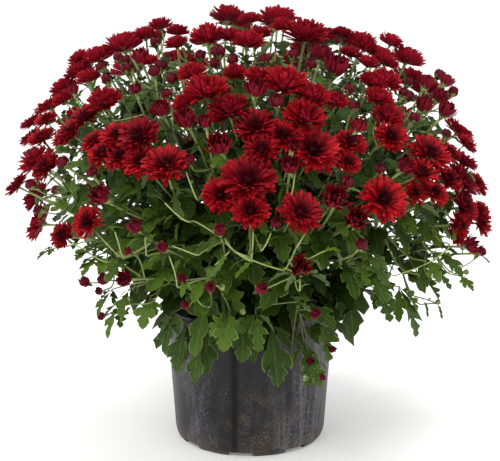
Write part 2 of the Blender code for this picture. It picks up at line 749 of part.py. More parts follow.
def make_pot() -> bpy.types.Object:
    """The nursery pot, with notches across its foot ring and drain holes through its floor."""
    pot = new_object("pot", turned(pot_profile(), POT_SIDES), material("pot plastic", *POT_FINISH))
    cutters = []
    for step in range(NOTCH_COUNT):
        notch = bmesh.new()
        bmesh.ops.create_cube(notch, size=1.0)
        size = (NOTCH_WIDTH, FOOT_RING_WIDTH * 4.0, FLOOR_LIFT * 2.0 - GAP)
        bmesh.ops.scale(notch, verts=notch.verts, vec=size)
        turn = NOTCH_TURN + 2.0 * math.pi * step / NOTCH_COUNT
        place = Matrix.Rotation(turn, 4, "Z") @ Matrix.Translation((0.0, -WALL_FOOT_RADIUS, 0.0))
        notch.transform(place)
        cutters.append(notch)
    for step in range(DRAIN_COUNT):
        drain = bmesh.new()
        bmesh.ops.create_cone(drain, cap_ends=True, segments=DRAIN_SIDES, radius1=DRAIN_RADIUS,
                              radius2=DRAIN_RADIUS, depth=FLOOR_LIFT * 4.0)
        turn = 2.0 * math.pi * (step + 0.5) / DRAIN_COUNT
        place = Matrix.Rotation(turn, 4, "Z") @ Matrix.Translation((DRAIN_RING_RADIUS, 0.0, FLOOR_LIFT))
        drain.transform(place)
        cutters.append(drain)
    cut(pot, cutters)
    smooth(pot)
    return pot


def make_soil(stems: list) -> bpy.types.Object:
    """The soil that fills the pot, with a plain hole for each stem."""
    low = FLOOR_LIFT + FLOOR_THICKNESS + GAP
    slack = WALL_THICKNESS + GAP * 1.5
    profile = [
        (0.0, low),
        (wall_radius(low) - slack - WALL_THICKNESS, low),
        (wall_radius(SOIL_TOP) - slack, SOIL_TOP),
        (0.0, SOIL_TOP + SOIL_MOUND),
    ]
    soil = new_object("soil", turned(profile, POT_SIDES), material("potting soil", *SOIL_FINISH))
    cutters = []
    for stem in stems:
        hole = bmesh.new()
        radius = (STEM_FOOT_RADIUS + GAP) / math.cos(math.pi / HOLE_SIDES)
        depth = ROOT_DEPTH * 2.0
        bmesh.ops.create_cone(hole, cap_ends=True, segments=HOLE_SIDES, radius1=radius, radius2=radius,
                              depth=depth)
        hole.transform(Matrix.Translation(stem.route[0] + UP * (depth / 2.0 - GAP)))
        cutters.append(hole)
    cut(soil, cutters)
    smooth(soil)
    return soil


def smooth(piece: bpy.types.Object) -> None:
    """Round faces shaded smooth, with sharp edges kept."""
    piece.data.shade_smooth()
    piece.data.set_sharp_from_angle(angle=SMOOTH_ANGLE)


def tree_of(piece: bpy.types.Object) -> BVHTree:
    """A search tree over an object's mesh."""
    return BVHTree.FromPolygons([vert.co for vert in piece.data.vertices],
                                [face.vertices[:] for face in piece.data.polygons])


def add_leaves(leaves: list, parts: list, fixed: list) -> None:
    """Add to each stem's shapes the leaves that cross nothing but the stem or stalk that they grow from."""
    obstacles = [[BVHTree.FromBMesh(shape) for shape in shapes] for shapes in parts]
    kept = 0
    for leaf in leaves:
        if kept == LEAF_LIMIT:
            break
        shape = leaf_shape(leaf)
        tree = BVHTree.FromBMesh(shape)
        others = [other for index, group in enumerate(obstacles) for place, other in enumerate(group)
                  if (index, place) != (leaf.stem, leaf.host)]
        if any(tree.overlap(other) for other in fixed + others):
            shape.free()
            continue
        parts[leaf.stem].append(shape)
        obstacles[leaf.stem].append(tree)
        kept += 1


def make_plant() -> None:
    """The soil, the leafy stems and the blooms."""
    heads = lay_out_heads()
    stems = lay_out_stems(heads)
    soil = make_soil(stems)
    pot = make_pot()
    blooms = {index: seated_bloom(head, index * GOLDEN_TURN)
              for index, head in enumerate(heads) if head.kind == "open"}
    trees = {index: BVHTree.FromBMesh(shape) for index, shape in blooms.items()}
    groups = bunches(heads, trees)
    seated = {index for group in groups[:RED_NODES] for index in group}
    petal_red = material("petals", *PETAL_FINISH)
    leaf_green = material("leaves and stems", *LEAF_FINISH)
    fixed = [tree_of(pot), tree_of(soil)] + [trees[index] for index in sorted(seated)]
    parts = []
    for stem in stems:
        shapes = [stem_shape(stem)]
        for stalk in stem.stalks:
            turn = stalk.head * GOLDEN_TURN
            shapes.append(stalk_shape(stalk, heads[stalk.head], turn, stalk.head in seated))
        parts.append(shapes)
    add_leaves(lay_out_leaves(heads, stems), parts, fixed)
    for index, shapes in enumerate(parts):
        fused(f"leafy_stem_{index + 1:02d}", shapes, leaf_green)
    for number, group in enumerate(groups[:RED_NODES]):
        word = "bunch" if len(group) > 1 else "bloom"
        fused(f"{word}_{number + 1:02d}", [blooms[index] for index in group], petal_red)


def main() -> None:
    """Clear the scene and build the part."""
    for old in list(bpy.data.objects):
        bpy.data.objects.remove(old)
    make_plant()


main()
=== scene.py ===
"""Looks of a pot chrysanthemum: a domed garden mum in dark red bloom, in a black nursery pot.

Metres, +Z up, -Y towards the viewer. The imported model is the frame: each bloom, bunch and leafy stem, the
pot and its soil are replaced here by a finer piece that keeps their form and place. The heads and stems are
laid out by the rules that the model was made with, so every petal and leaf grows where its solid is.
"""

import json
import logging
import math
from dataclasses import dataclass
from enum import Enum
from itertools import product
from random import Random
from typing import NamedTuple

import bmesh
import bpy
from bmesh.types import BMEdge, BMesh, BMFace, BMVert
from bpy.types import ID, Material, Mesh, NodeSocket, Object
from mathutils import Matrix, Vector, noise
from mathutils.kdtree import KDTree

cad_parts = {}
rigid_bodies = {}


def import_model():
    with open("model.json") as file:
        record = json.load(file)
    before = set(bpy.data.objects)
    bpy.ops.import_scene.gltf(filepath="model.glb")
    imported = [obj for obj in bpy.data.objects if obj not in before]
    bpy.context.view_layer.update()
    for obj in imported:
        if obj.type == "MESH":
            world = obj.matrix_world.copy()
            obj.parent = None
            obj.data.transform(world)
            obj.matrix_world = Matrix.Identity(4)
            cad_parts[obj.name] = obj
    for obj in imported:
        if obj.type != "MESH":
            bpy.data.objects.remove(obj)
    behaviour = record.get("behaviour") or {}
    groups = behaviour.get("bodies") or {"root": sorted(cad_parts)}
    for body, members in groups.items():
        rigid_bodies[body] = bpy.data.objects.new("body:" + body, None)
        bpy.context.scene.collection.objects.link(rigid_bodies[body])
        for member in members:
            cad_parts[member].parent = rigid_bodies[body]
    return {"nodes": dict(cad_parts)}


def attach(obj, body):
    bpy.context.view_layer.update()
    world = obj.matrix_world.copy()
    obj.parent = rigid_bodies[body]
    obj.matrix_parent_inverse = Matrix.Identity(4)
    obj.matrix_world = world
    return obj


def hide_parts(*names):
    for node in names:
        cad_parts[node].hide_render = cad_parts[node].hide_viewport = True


Route = tuple[Vector, ...]
Span = tuple[float, float]
Number = float | int
Colour = tuple[float, float, float, float]

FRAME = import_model()
LOG = logging.getLogger("pot_chrysanthemum")
UP = Vector((0.0, 0.0, 1.0))
GOLDEN_TURN = math.pi * (3.0 - math.sqrt(5.0))

# How far heads lift their faces, how much less at the front, and their size and sink against the model's
HEAD_LIFT = 0.40
FRONT_SHARE = 0.60
HEAD_SHARE = 1.06
HEAD_SINK = 0.22


class Seen(NamedTuple):
    """A head or leaf where the photograph shows it: its middle and its width, in pixels."""

    across: float
    down: float
    width: float


def spots(*rows: tuple[float, float, float]) -> tuple[Seen, ...]:
    """Return rows of numbers as seen places."""
    return tuple(Seen(*row) for row in rows)


OPEN_SEEN = spots(
    (228, 14, 36), (250, 18, 24), (279, 23, 26), (204, 34, 38), (232, 34, 26), (252, 40, 36), (309, 33, 46),
    (338, 31, 24), (364, 41, 34), (390, 38, 26), (410, 58, 36), (388, 60, 28), (160, 27, 28), (177, 30, 24),
    (127, 43, 42), (96, 47, 34), (76, 66, 32), (87, 76, 26), (57, 95, 30), (38, 113, 32), (82, 114, 32),
    (64, 133, 32), (40, 135, 30), (32, 158, 38), (14, 184, 28), (183, 57, 30), (193, 80, 48), (209, 98, 44),
    (243, 71, 28), (246, 122, 44), (256, 147, 38), (285, 83, 50), (322, 94, 38), (370, 72, 30),
    (372, 92, 30), (390, 79, 32), (397, 118, 34), (92, 142, 32), (117, 134, 34), (135, 135, 44),
    (108, 161, 34), (143, 161, 36), (177, 160, 48), (238, 190, 58), (252, 218, 38), (291, 128, 38),
    (328, 122, 44), (340, 151, 54), (304, 210, 44), (386, 198, 48), (393, 144, 36), (434, 146, 46),
    (466, 151, 30), (421, 178, 34), (437, 192, 30), (466, 181, 40), (470, 205, 36), (484, 222, 30),
    (460, 232, 28), (85, 222, 34), (60, 235, 28), (107, 97, 38),
)
HALF_SEEN = spots(
    (73, 90, 14), (337, 68, 26), (156, 115, 20), (188, 121, 24), (204, 119, 16), (100, 198, 22),
    (220, 149, 26), (297, 160, 20), (335, 199, 28), (309, 146, 16), (356, 221, 24), (408, 169, 18),
    (427, 83, 18), (447, 82, 16), (441, 97, 18), (425, 106, 20), (447, 112, 20), (250, 100, 22),
    (301, 269, 22), (125, 280, 18), (359, 127, 18), (471, 247, 18), (140, 57, 18), (322, 54, 20),
)
BUD_SEEN = spots(
    (135, 90, 13), (154, 72, 14), (218, 53, 16), (210, 288, 13), (315, 315, 12), (220, 231, 14),
    (362, 246, 14), (162, 248, 13), (135, 228, 16), (63, 164, 14), (93, 170, 13), (280, 108, 16),
    (404, 94, 13), (481, 253, 11), (343, 190, 15),
)
SIDE_BUDS_SEEN = spots(
    (31, 186, 12), (38, 211, 10), (190, 160, 12), (219, 231, 13), (354, 107, 12), (276, 224, 12),
    (380, 170, 12), (454, 93, 12), (440, 76, 12), (385, 102, 12), (378, 119, 11), (415, 119, 12),
    (410, 83, 11), (447, 135, 11), (311, 66, 13), (293, 55, 12), (155, 43, 12), (167, 57, 11),
    (125, 61, 11), (126, 70, 12), (233, 61, 12), (167, 95, 12), (104, 280, 13), (182, 279, 11),
    (261, 290, 14), (185, 306, 10), (102, 317, 9), (310, 361, 10), (332, 350, 8), (128, 252, 9),
    (85, 283, 12), (99, 292, 9), (322, 378, 8), (172, 80, 14), (106, 80, 13), (118, 58, 12), (215, 64, 12),
    (101, 68, 12), (162, 66, 12), (340, 98, 13), (408, 98, 13), (350, 90, 12), (266, 60, 12), (200, 56, 12),
)
GREEN_BUDS_SEEN = spots(
    (266, 187, 9), (305, 378, 7), (222, 288, 7), (302, 352, 6), (119, 255, 7), (243, 312, 6), (466, 273, 6),
    (438, 303, 6), (439, 281, 6),
)
MORE_OPEN_SEEN = spots(
    (42, 166, 34), (30, 120, 26), (352, 140, 34), (221, 194, 38), (452, 178, 30), (468, 142, 26),
    (236, 72, 26), (92, 140, 28), (369, 62, 24), (417, 192, 26), (349, 161, 28), (458, 234, 24),
    (184, 102, 26), (336, 100, 28), (62, 98, 24), (176, 42, 26), (261, 32, 24), (352, 52, 24),
    (62, 136, 26), (150, 60, 20), (366, 45, 30), (382, 53, 26), (160, 24, 26), (78, 58, 26), (480, 184, 26),
    (484, 212, 26), (28, 136, 24), (452, 150, 24), (44, 118, 24),
)
LEAVES_SEEN = spots(
    (90, 262, 30), (114, 268, 30), (104, 300, 30), (124, 300, 30), (112, 318, 34), (146, 310, 32),
    (376, 280, 44), (410, 308, 48), (440, 272, 34), (452, 262, 30), (378, 268, 36), (45, 252, 20),
    (62, 205, 26), (52, 196, 24), (66, 150, 26), (468, 282, 18), (430, 284, 28), (180, 345, 44),
    (206, 348, 44), (243, 338, 40), (275, 352, 56), (307, 362, 38), (326, 338, 38), (168, 330, 40),
    (226, 330, 36), (258, 330, 36), (318, 372, 24), (196, 362, 34), (283, 47, 24), (246, 58, 22),
    (230, 50, 20), (360, 72, 22), (345, 80, 22), (328, 74, 20), (165, 62, 22), (178, 88, 20), (160, 88, 20),
    (106, 74, 22), (123, 80, 22), (104, 117, 20), (77, 164, 28), (86, 250, 30), (384, 302, 34),
    (372, 258, 26), (188, 47, 18),
)
TWIGS_SEEN = (
    ((251, 262), (253, 246), (253, 232)), ((252, 262), (244, 258), (232, 250), (225, 238)),
    ((261, 252), (267, 243), (271, 233)), ((291, 262), (295, 249), (305, 234)),
    ((308, 260), (321, 252), (336, 248)),
    ((287, 210), (293, 190), (295, 173)), ((197, 201), (192, 188), (186, 172)),
    ((189, 223), (178, 216), (165, 203)), ((285, 271), (264, 265), (252, 260), (240, 255)),
    ((285, 271), (294, 254), (304, 235)), ((300, 292), (300, 286), (300, 279)),
    ((453, 244), (440, 256), (423, 266), (394, 276)), ((436, 277), (464, 267), (479, 256)),
    ((423, 298), (430, 301), (437, 303)), ((121, 259), (108, 245), (96, 232)),
    ((122, 258), (119, 244), (115, 232)), ((105, 263), (92, 255), (70, 241)),
    ((146, 257), (146, 248), (145, 238)), ((177, 289), (176, 275), (169, 256)),
    ((209, 308), (200, 305), (187, 282)), ((250, 258), (231, 250), (224, 238)),
    ((198, 256), (186, 251), (172, 246)), ((230, 251), (222, 259), (215, 265)),
    ((148, 304), (136, 304), (122, 304)),
)


class Seed(Enum):
    """Seeds of the sources of chance: what a piece's number is multiplied by, and what is added to that."""

    LAYOUT = (0, 2)
    LEAVES = (101, 7)
    TONES = (17, 3)
    AGES = (31, 5)
    SHOOTS = (0, 41)
    HEAD_BLANKS = (0, 11)
    LEAF_BLANKS = (0, 19)
    CRUMBS = (0, 23)

    def draw(self, number: int = 0) -> Random:
        """Return the source of chance of a numbered piece."""
        step, start = self.value
        return Random(number * step + start)


def clamped(value: float, least: float = 0.0, most: float = 1.0) -> float:
    """Return a value, held between a least and a most."""
    return min(max(value, least), most)


def outward(place: Vector) -> Vector:
    """Return the level direction from the plant's axis to a place."""
    return Vector((place.x, place.y, 0.0)).normalized()


def around(turn: float, reach: float = 1.0, rise: float = 0.0) -> Vector:
    """Return a place at a turn about the plant's axis, at a reach from it and a rise above its foot."""
    return Vector((reach * math.cos(turn), reach * math.sin(turn), rise))


def astray_by(draw: Random, reach: float) -> float:
    """Draw a number within a reach of 0."""
    return draw.uniform(-reach, reach)


def astray(draw: Random, reach: float) -> Vector:
    """Draw a vector with each of its parts within a reach of 0."""
    return Vector([astray_by(draw, reach) for _ in range(3)])


def bow(low: Vector, knee: Vector, high: Vector, part: float) -> Vector:
    """Return the point at a part of the curve that leaves low towards a knee and ends in high."""
    return low * (1.0 - part) ** 2 + knee * 2.0 * part * (1.0 - part) + high * part ** 2


class HeadKind(Enum):
    """How far a head has opened; the value is its letter in the order of the far side's heads."""

    OPEN = "o"
    HALF = "h"
    BUD = "b"


# How deep a head's foot and the middle of its calyx lie under its own middle, in shares of its radius
FOOT_DEPTHS = {HeadKind.OPEN: 0.24, HeadKind.HALF: 1.0, HeadKind.BUD: 1.0}
SEAT_DEPTHS = {HeadKind.OPEN: 0.22, HeadKind.HALF: 0.97, HeadKind.BUD: 0.97}

# The radii of the far side's heads
BACK_RADII = {HeadKind.OPEN: 0.0235, HeadKind.HALF: 0.0105, HeadKind.BUD: 0.0068}

# How dark the petals of each kind of head are with age or youth: the least, and the most on top of it
AGES = {HeadKind.OPEN: (0.0, 0.73), HeadKind.HALF: (0.38, 0.50), HeadKind.BUD: (0.80, 0.40)}


@dataclass(frozen=True)
class Head:
    """A bloom or bud: how far it has opened, its middle, the way it faces, its radius and its turn."""

    kind: HeadKind
    middle: Vector
    facing: Vector
    radius: float
    turn: float = 0.0

    @property
    def foot(self) -> Vector:
        """Lowest point of the head's underside, where its stalk meets it."""
        return self.middle - self.facing * self.radius * FOOT_DEPTHS[self.kind]

    @property
    def seat(self) -> Vector:
        """Middle of the calyx, where the fine stalk ends."""
        return self.frame @ Vector((0.0, 0.0, -SEAT_DEPTHS[self.kind]))

    @property
    def frame(self) -> Matrix:
        """The head's own axes.

        Returns:
            Its facing as Z, lifted about its foot, and its radius as the scale.
        """
        lift = HEAD_LIFT * (1.0 - FRONT_SHARE * max(-self.facing.y, 0.0))
        face = (self.facing + UP * lift).normalized()
        sink = self.radius * HEAD_SINK if self.kind is HeadKind.OPEN else 0.0
        middle = self.foot + face * ((self.middle - self.foot).length - sink)
        place = Matrix.Translation(middle) @ face.to_track_quat("Z", "Y").to_matrix().to_4x4()
        return place @ Matrix.Rotation(self.turn, 4, "Z") @ Matrix.Scale(self.radius * HEAD_SHARE, 4)


@dataclass(frozen=True)
class Stalk:
    """A stalk: the number of the head that it carries, and its route up to the head's foot."""

    head: int
    route: Route


@dataclass(frozen=True)
class Stem:
    """A main stem: its route up from the soil, and the stalks that it forks into."""

    route: Route
    stalks: tuple[Stalk, ...]


def in_scene(name: str, data: ID) -> Object:
    """Put a mesh, light or lens into the scene.

    Args:
        name: The object's name.
        data: What it shows.

    Returns:
        The object.
    """
    thing = bpy.data.objects.new(name, data)
    bpy.context.scene.collection.objects.link(thing)
    return thing


@dataclass(frozen=True)
class Viewpoint:
    """The place that the photograph was taken from, and its lens."""

    eye: Vector = Vector((0.0, -1.50, 0.58))
    look_down: float = math.radians(12.0)
    focal_px: float = 1237.0
    middle_px: Span = (250.0, 230.5)
    frame_width_px: int = 500
    sensor_mm: float = 36.0

    def sight_line(self, spot: Seen) -> Vector:
        """Find the direction in which a place of the photograph is seen.

        Args:
            spot: The place.

        Returns:
            The direction from the eye, one unit deep along the view.
        """
        forward = Vector((0.0, math.cos(self.look_down), -math.sin(self.look_down)))
        rise = Vector((0.0, math.sin(self.look_down), math.cos(self.look_down)))
        across = (spot.across - self.middle_px[0]) / self.focal_px
        up = (self.middle_px[1] - spot.down) / self.focal_px
        return forward + Vector((across, 0.0, 0.0)) + rise * up

    def width_at(self, place: Vector, spot: Seen) -> float:
        """Return how wide something is that stands at a place and has a spot's width in the photograph."""
        return spot.width * (place - self.eye).length / self.focal_px

    def make_camera(self) -> None:
        """Stand the scene's camera at the eye."""
        lens = bpy.data.cameras.new("viewpoint")
        lens.sensor_width = self.sensor_mm
        lens.lens = self.focal_px / self.frame_width_px * self.sensor_mm
        camera = in_scene("viewpoint", lens)
        camera.location = self.eye
        camera.rotation_euler = (math.pi / 2.0 - self.look_down, 0.0, 0.0)
        bpy.context.scene.camera = camera


@dataclass(frozen=True)
class Dome:
    """The dome that the heads stand on, and the spacing of the heads on it."""

    radius: float = 0.288
    widest: float = 0.290
    rise: float = 0.236
    drop: float = 0.150
    face_up: float = 0.28
    face_stray: float = 0.22
    back_tries: int = 230
    back_spacing: float = 0.050
    back_nearest: float = 0.020
    back_lowest: float = -0.25
    back_kinds: str = "oohoobooohoobooo"
    back_sizes: Span = (0.85, 1.18)
    near_share: float = 1.22
    touch_share: float = 0.72
    head_gap: float = 0.0010
    shift_rounds: int = 30
    shift_step: float = 0.5

    def meet(self, eye: Vector, line: Vector) -> Vector:
        """Find where a sight line meets the dome, or passes it closest.

        Args:
            eye: Where the line starts.
            line: Its direction.

        Returns:
            The place on the dome.
        """
        place = eye
        for reach in (self.rise, self.drop):
            squeeze = Vector((1.0 / self.radius, 1.0 / self.radius, 1.0 / reach))
            start = (eye - UP * self.widest) * squeeze
            run = line * squeeze
            nearest = -start.dot(run) / run.dot(run)
            spare = nearest ** 2 - (start.dot(start) - 1.0) / run.dot(run)
            place = eye + line * (nearest - math.sqrt(max(spare, 0.0)))
            if place.z > self.widest:
                break
        return place

    def facing(self, place: Vector, draw: Random) -> Vector:
        """Turn a head outwards, a little upwards and a little astray.

        Args:
            place: The head's place on the dome.
            draw: The source of chance.

        Returns:
            The direction that the head faces.
        """
        reach = self.rise if place.z > self.widest else self.drop * 2.0
        rise = (place.z - self.widest) / reach ** 2
        out = Vector((place.x / self.radius ** 2, place.y / self.radius ** 2, rise))
        return (out.normalized() + UP * self.face_up + astray(draw, self.face_stray)).normalized()

    def back_heads(self, front: list[Head], draw: Random) -> list[Head]:
        """Place the heads of the far side, on a golden spiral round the dome.

        Args:
            front: The heads that are there already, which the new ones keep clear of.
            draw: The source of chance.

        Returns:
            The new heads.
        """
        heads: list[Head] = []
        for step in range(self.back_tries):
            level = 1.0 - (1.0 - self.back_lowest) * (step + 0.5) / self.back_tries
            ring = math.sqrt(1.0 - level ** 2) * self.radius
            reach = self.rise if level > 0.0 else self.drop
            place = around(step * GOLDEN_TURN, ring, self.widest + level * reach)
            if place.y < self.back_nearest:
                continue
            if any((place - head.middle).length < self.back_spacing for head in front + heads):
                continue
            kind = HeadKind(self.back_kinds[len(heads) % len(self.back_kinds)])
            facing = self.facing(place, draw)
            heads.append(Head(kind, place, facing, BACK_RADII[kind] * draw.uniform(*self.back_sizes)))
        return heads

    def spaced(self, heads: list[Head]) -> list[Head]:
        """Shift heads along the dome: near blooms till their petals meet, the others till they stand clear.

        Args:
            heads: The heads at their first places.

        Returns:
            The heads at their final places, each with its turn.
        """
        places = [head.middle.copy() for head in heads]
        pairs = [(one, two) for one in range(len(heads)) for two in range(one)]
        reaches = {pair: heads[pair[0]].radius + heads[pair[1]].radius for pair in pairs}
        near = {pair for pair in pairs if all(heads[index].kind is HeadKind.OPEN for index in pair)
                and (places[pair[0]] - places[pair[1]]).length < reaches[pair] * self.near_share}
        for _ in range(self.shift_rounds):
            for pair in pairs:
                one, two = pair
                apart = places[one] - places[two]
                least = reaches[pair] * self.touch_share if pair in near else reaches[pair] + self.head_gap
                if pair not in near and apart.length >= least:
                    continue
                push = apart.normalized() * (least - apart.length) * self.shift_step
                share = heads[two].radius / reaches[pair]
                places[one] += push * share
                places[two] -= push * (1.0 - share)
        return [Head(head.kind, place, head.facing, head.radius, index * GOLDEN_TURN)
                for index, (head, place) in enumerate(zip(heads, places))]

    def heads(self, view: Viewpoint) -> list[Head]:
        """Lay out every head: those that the photograph shows on their own lines of sight, then the others.

        Args:
            view: The photograph's viewpoint.

        Returns:
            The heads, in the order in which the model numbers them.
        """
        draw = Seed.LAYOUT.draw()
        front = []
        for kind, group in zip(HeadKind, (OPEN_SEEN, HALF_SEEN, BUD_SEEN)):
            for spot in group:
                place = self.meet(view.eye, view.sight_line(spot))
                front.append(Head(kind, place, self.facing(place, draw), view.width_at(place, spot) / 2.0))
        return self.spaced(front + self.back_heads(front, draw))


def along_route(route: Route, part: float) -> Vector:
    """Return the point at a part of a route, counted in its pieces from the start."""
    low = min(int(part * (len(route) - 1)), len(route) - 2)
    return route[low].lerp(route[low + 1], part * (len(route) - 1) - low)


def eased(route: list[Vector], rounds: int = 2) -> Route:
    """Round the corners of a route.

    Args:
        route: The route's points.
        rounds: How often each corner is cut.

    Returns:
        The points of the smooth route, from the same start to the same end.
    """
    for _ in range(rounds):
        cut = [route[0]]
        for low, high in zip(route, route[1:]):
            cut += [low.lerp(high, 0.25), low.lerp(high, 0.75)]
        route = cut + [route[-1]]
    return tuple(route)


def segment_gap(a: Vector, b: Vector, c: Vector, d: Vector) -> float:
    """Measure the least distance between two straight pieces.

    Args:
        a: One end of the first piece.
        b: Its other end.
        c: One end of the second piece.
        d: Its other end.

    Returns:
        The distance.
    """
    u = b - a
    v = d - c
    w = a - c
    uu, uv, vv, uw, vw = u.dot(u), u.dot(v), v.dot(v), u.dot(w), v.dot(w)
    bottom = uu * vv - uv * uv
    s = 0.0 if bottom < 1e-12 else clamped((uv * vw - vv * uw) / bottom)
    t = (uv * s + vw) / vv
    if t < 0.0 or t > 1.0:
        t = clamped(t)
        s = clamped((uv * t - uw) / uu)
    return (w + u * s - v * t).length


class Run(NamedTuple):
    """A straight piece of a stalk, or of a main stem, whose number is then below 0."""

    stem: int
    low: Vector
    high: Vector
    radius: float


@dataclass(frozen=True)
class StemPlan:
    """How the main stems rise out of the soil, and how their stalks find clear ways to the heads."""

    count: int = 17
    spread: float = 0.74
    foot_radius: float = 0.0032
    steps: int = 5
    stalk_radius: float = 0.0014
    knees: tuple[float, ...] = (0.42, 0.28, 0.56)
    sways: tuple[float, ...] = (0.0, 0.010, -0.010, 0.020, -0.020)
    samples: int = 16
    lowest: float = 0.52
    shift: float = 0.045
    shifts: int = 9
    join: float = 0.12
    root_spread: float = 0.066
    fork_share: float = 0.60
    collar_rise: float = 0.012
    bend_rise: float = 0.60
    bend_out: float = 0.12
    soil_top: float = 0.150
    root_depth: float = 0.024
    clearance: float = 0.0007
    petal_top: float = 0.3
    petal_slack: float = 1.2
    heart: Vector = Vector((0.0, 0.0, 0.150))

    def directions(self) -> list[Vector]:
        """Return the direction from the plant's heart towards the middle of each stem's share of the dome."""
        levels = [1.0 - (step + 0.5) / self.count * self.spread for step in range(self.count)]
        return [around(step * GOLDEN_TURN, math.sqrt(1.0 - level ** 2), level)
                for step, level in enumerate(levels)]

    def stem_route(self, direction: Vector, heads: list[Head]) -> Route:
        """Lead a main stem out of the soil and in a curve to its fork.

        Args:
            direction: The middle of the stem's share of the dome.
            heads: The heads that the stem carries.

        Returns:
            The route's points, the first of them down in the soil.
        """
        middle = sum((head.foot for head in heads), Vector()) / len(heads)
        fork = self.heart + (middle - self.heart) * self.fork_share
        root = Vector((direction.x, direction.y, 0.0)) * self.root_spread
        root += UP * (self.soil_top - self.root_depth)
        collar = root + UP * (self.root_depth + self.collar_rise)
        bend = collar + UP * (fork.z - collar.z) * self.bend_rise + (fork - collar) * self.bend_out
        return (root, *(bow(collar, bend, fork, step / (self.steps - 1)) for step in range(self.steps)))

    def head_blocks(self, head: Head, low: Vector, high: Vector) -> bool:
        """Tell whether a straight stalk piece runs through a head.

        Args:
            head: The head.
            low: The piece's lower end.
            high: Its upper end.

        Returns:
            True if it does.
        """
        run = high - low
        nearest = clamped((head.middle - low).dot(run) / run.length_squared)
        beside = (low + run * nearest - head.middle).length
        reach = self.stalk_radius + self.clearance
        if head.kind is not HeadKind.OPEN:
            return beside < head.radius + reach
        if beside > head.radius + reach:
            return False
        for step in range(self.samples + 1):
            local = low + run * (step / self.samples) - head.middle
            height = local.dot(head.facing) / head.radius
            out = (local.length_squared / head.radius ** 2 - height ** 2) ** 0.5
            slack = reach / head.radius
            lowest = -FOOT_DEPTHS[head.kind] * max(1.0 - out, 0.0) - slack * self.petal_slack
            if out < 1.0 + slack and lowest < height < self.petal_top + slack:
                return True
        return False

    def route_clear(self, route: Route, own: int, stem: int, heads: list[Head], taken: list[Run]) -> bool:
        """Tell whether a stalk keeps off the other stalks and off every other head.

        Args:
            route: The stalk's route.
            own: The number of its head.
            stem: The number of its stem.
            heads: All heads.
            taken: The pieces of the stems and stalks that are there already.

        Returns:
            True if it keeps off all of them.
        """
        for low, high in zip(route, route[1:]):
            away = low.lerp(high, self.join) if low == route[0] else low
            for run in taken:
                gap = segment_gap(away if run.stem == stem else low, high, run.low, run.high)
                if gap < run.radius + self.stalk_radius + self.clearance:
                    return False
            if any(self.head_blocks(head, low, high) for index, head in enumerate(heads) if index != own):
                return False
        return True

    def tries(self, stem: Route, head: Head, rank: float) -> list[Route]:
        """List the routes that a stalk could take from its stem, by a knee, into its head's underside.

        Args:
            stem: The stem's route.
            head: The stalk's head.
            rank: How far off the stem's line the head is, from 0 to 1.

        Returns:
            The routes, the likeliest first: they differ in sway, in the place on the stem and in the knee.
        """
        best = 1.0 - (1.0 - self.lowest) * rank
        steps = range(-self.shifts, self.shifts + 1)
        shifts = sorted((step * self.shift for step in steps), key=abs)
        starts = [along_route(stem, best + shift) for shift in shifts if self.lowest <= best + shift <= 1.0]
        foot = head.foot
        routes = []
        for sway, start, bend in product(self.sways, starts, self.knees):
            aside = head.facing.cross(foot - start).normalized() * sway
            knee = foot - head.facing * (foot - start).length * bend + aside
            routes.append((start, knee, foot))
        return routes

    def shared(self, heads: list[Head]) -> list[list[int]]:
        """Share the heads out among the stems.

        Args:
            heads: All heads.

        Returns:
            The numbers of the heads that each stem carries.
        """
        directions = self.directions()
        shares: list[list[int]] = [[] for _ in directions]
        for index, head in enumerate(heads):
            line = (head.middle - self.heart).normalized()
            nearest = max(range(len(directions)), key=lambda stem: directions[stem].dot(line))
            shares[nearest].append(index)
        return shares

    def stems(self, heads: list[Head]) -> list[Stem]:
        """Lay out the main stems with their stalks.

        Args:
            heads: All heads.

        Returns:
            The stems, in the order in which the model numbers them.
        """
        shares = self.shared(heads)
        routes = [self.stem_route(direction, [heads[index] for index in share])
                  for direction, share in zip(self.directions(), shares)]
        taken = [Run(-stem - 1, low, high, self.foot_radius) for stem, route in enumerate(routes)
                 for low, high in zip(route, route[1:])]
        stems = []
        for stem, (route, share) in enumerate(zip(routes, shares)):
            axis = (route[-1] - route[-2]).normalized()
            share.sort(key=lambda index: -(heads[index].middle - route[-1]).normalized().dot(axis))
            stalks = []
            others = [run for run in taken if run.stem != -stem - 1]
            for rank, index in enumerate(share):
                tries = self.tries(route, heads[index], (rank + 0.5) / len(share))
                clear = (points for points in tries if self.route_clear(points, index, stem, heads, others))
                points = next(clear, tries[0])
                stalks.append(Stalk(index, points))
                runs = [Run(stem, low, high, self.stalk_radius) for low, high in zip(points, points[1:])]
                taken += runs
                others += runs
            stems.append(Stem(route, tuple(stalks)))
        return stems


@dataclass(frozen=True)
class Leaf:
    """A leaf: its foot, its direction, its length, its roll about its rib, and its tone from 0 to 1."""

    foot: Vector
    along: Vector
    length: float
    roll: float = 0.0
    tone: float = 0.5
    small: bool = False
    droop: float = 0.62


def drawn_leaf(draw: Random, foot: Vector, along: Vector, length: float, roll: float,
               tone: float = 1.0, small: bool = False) -> Leaf:
    """Return a leaf whose roll and tone are drawn, up to the ones given."""
    return Leaf(foot, along.normalized(), length, astray_by(draw, roll), draw.random() * tone, small)


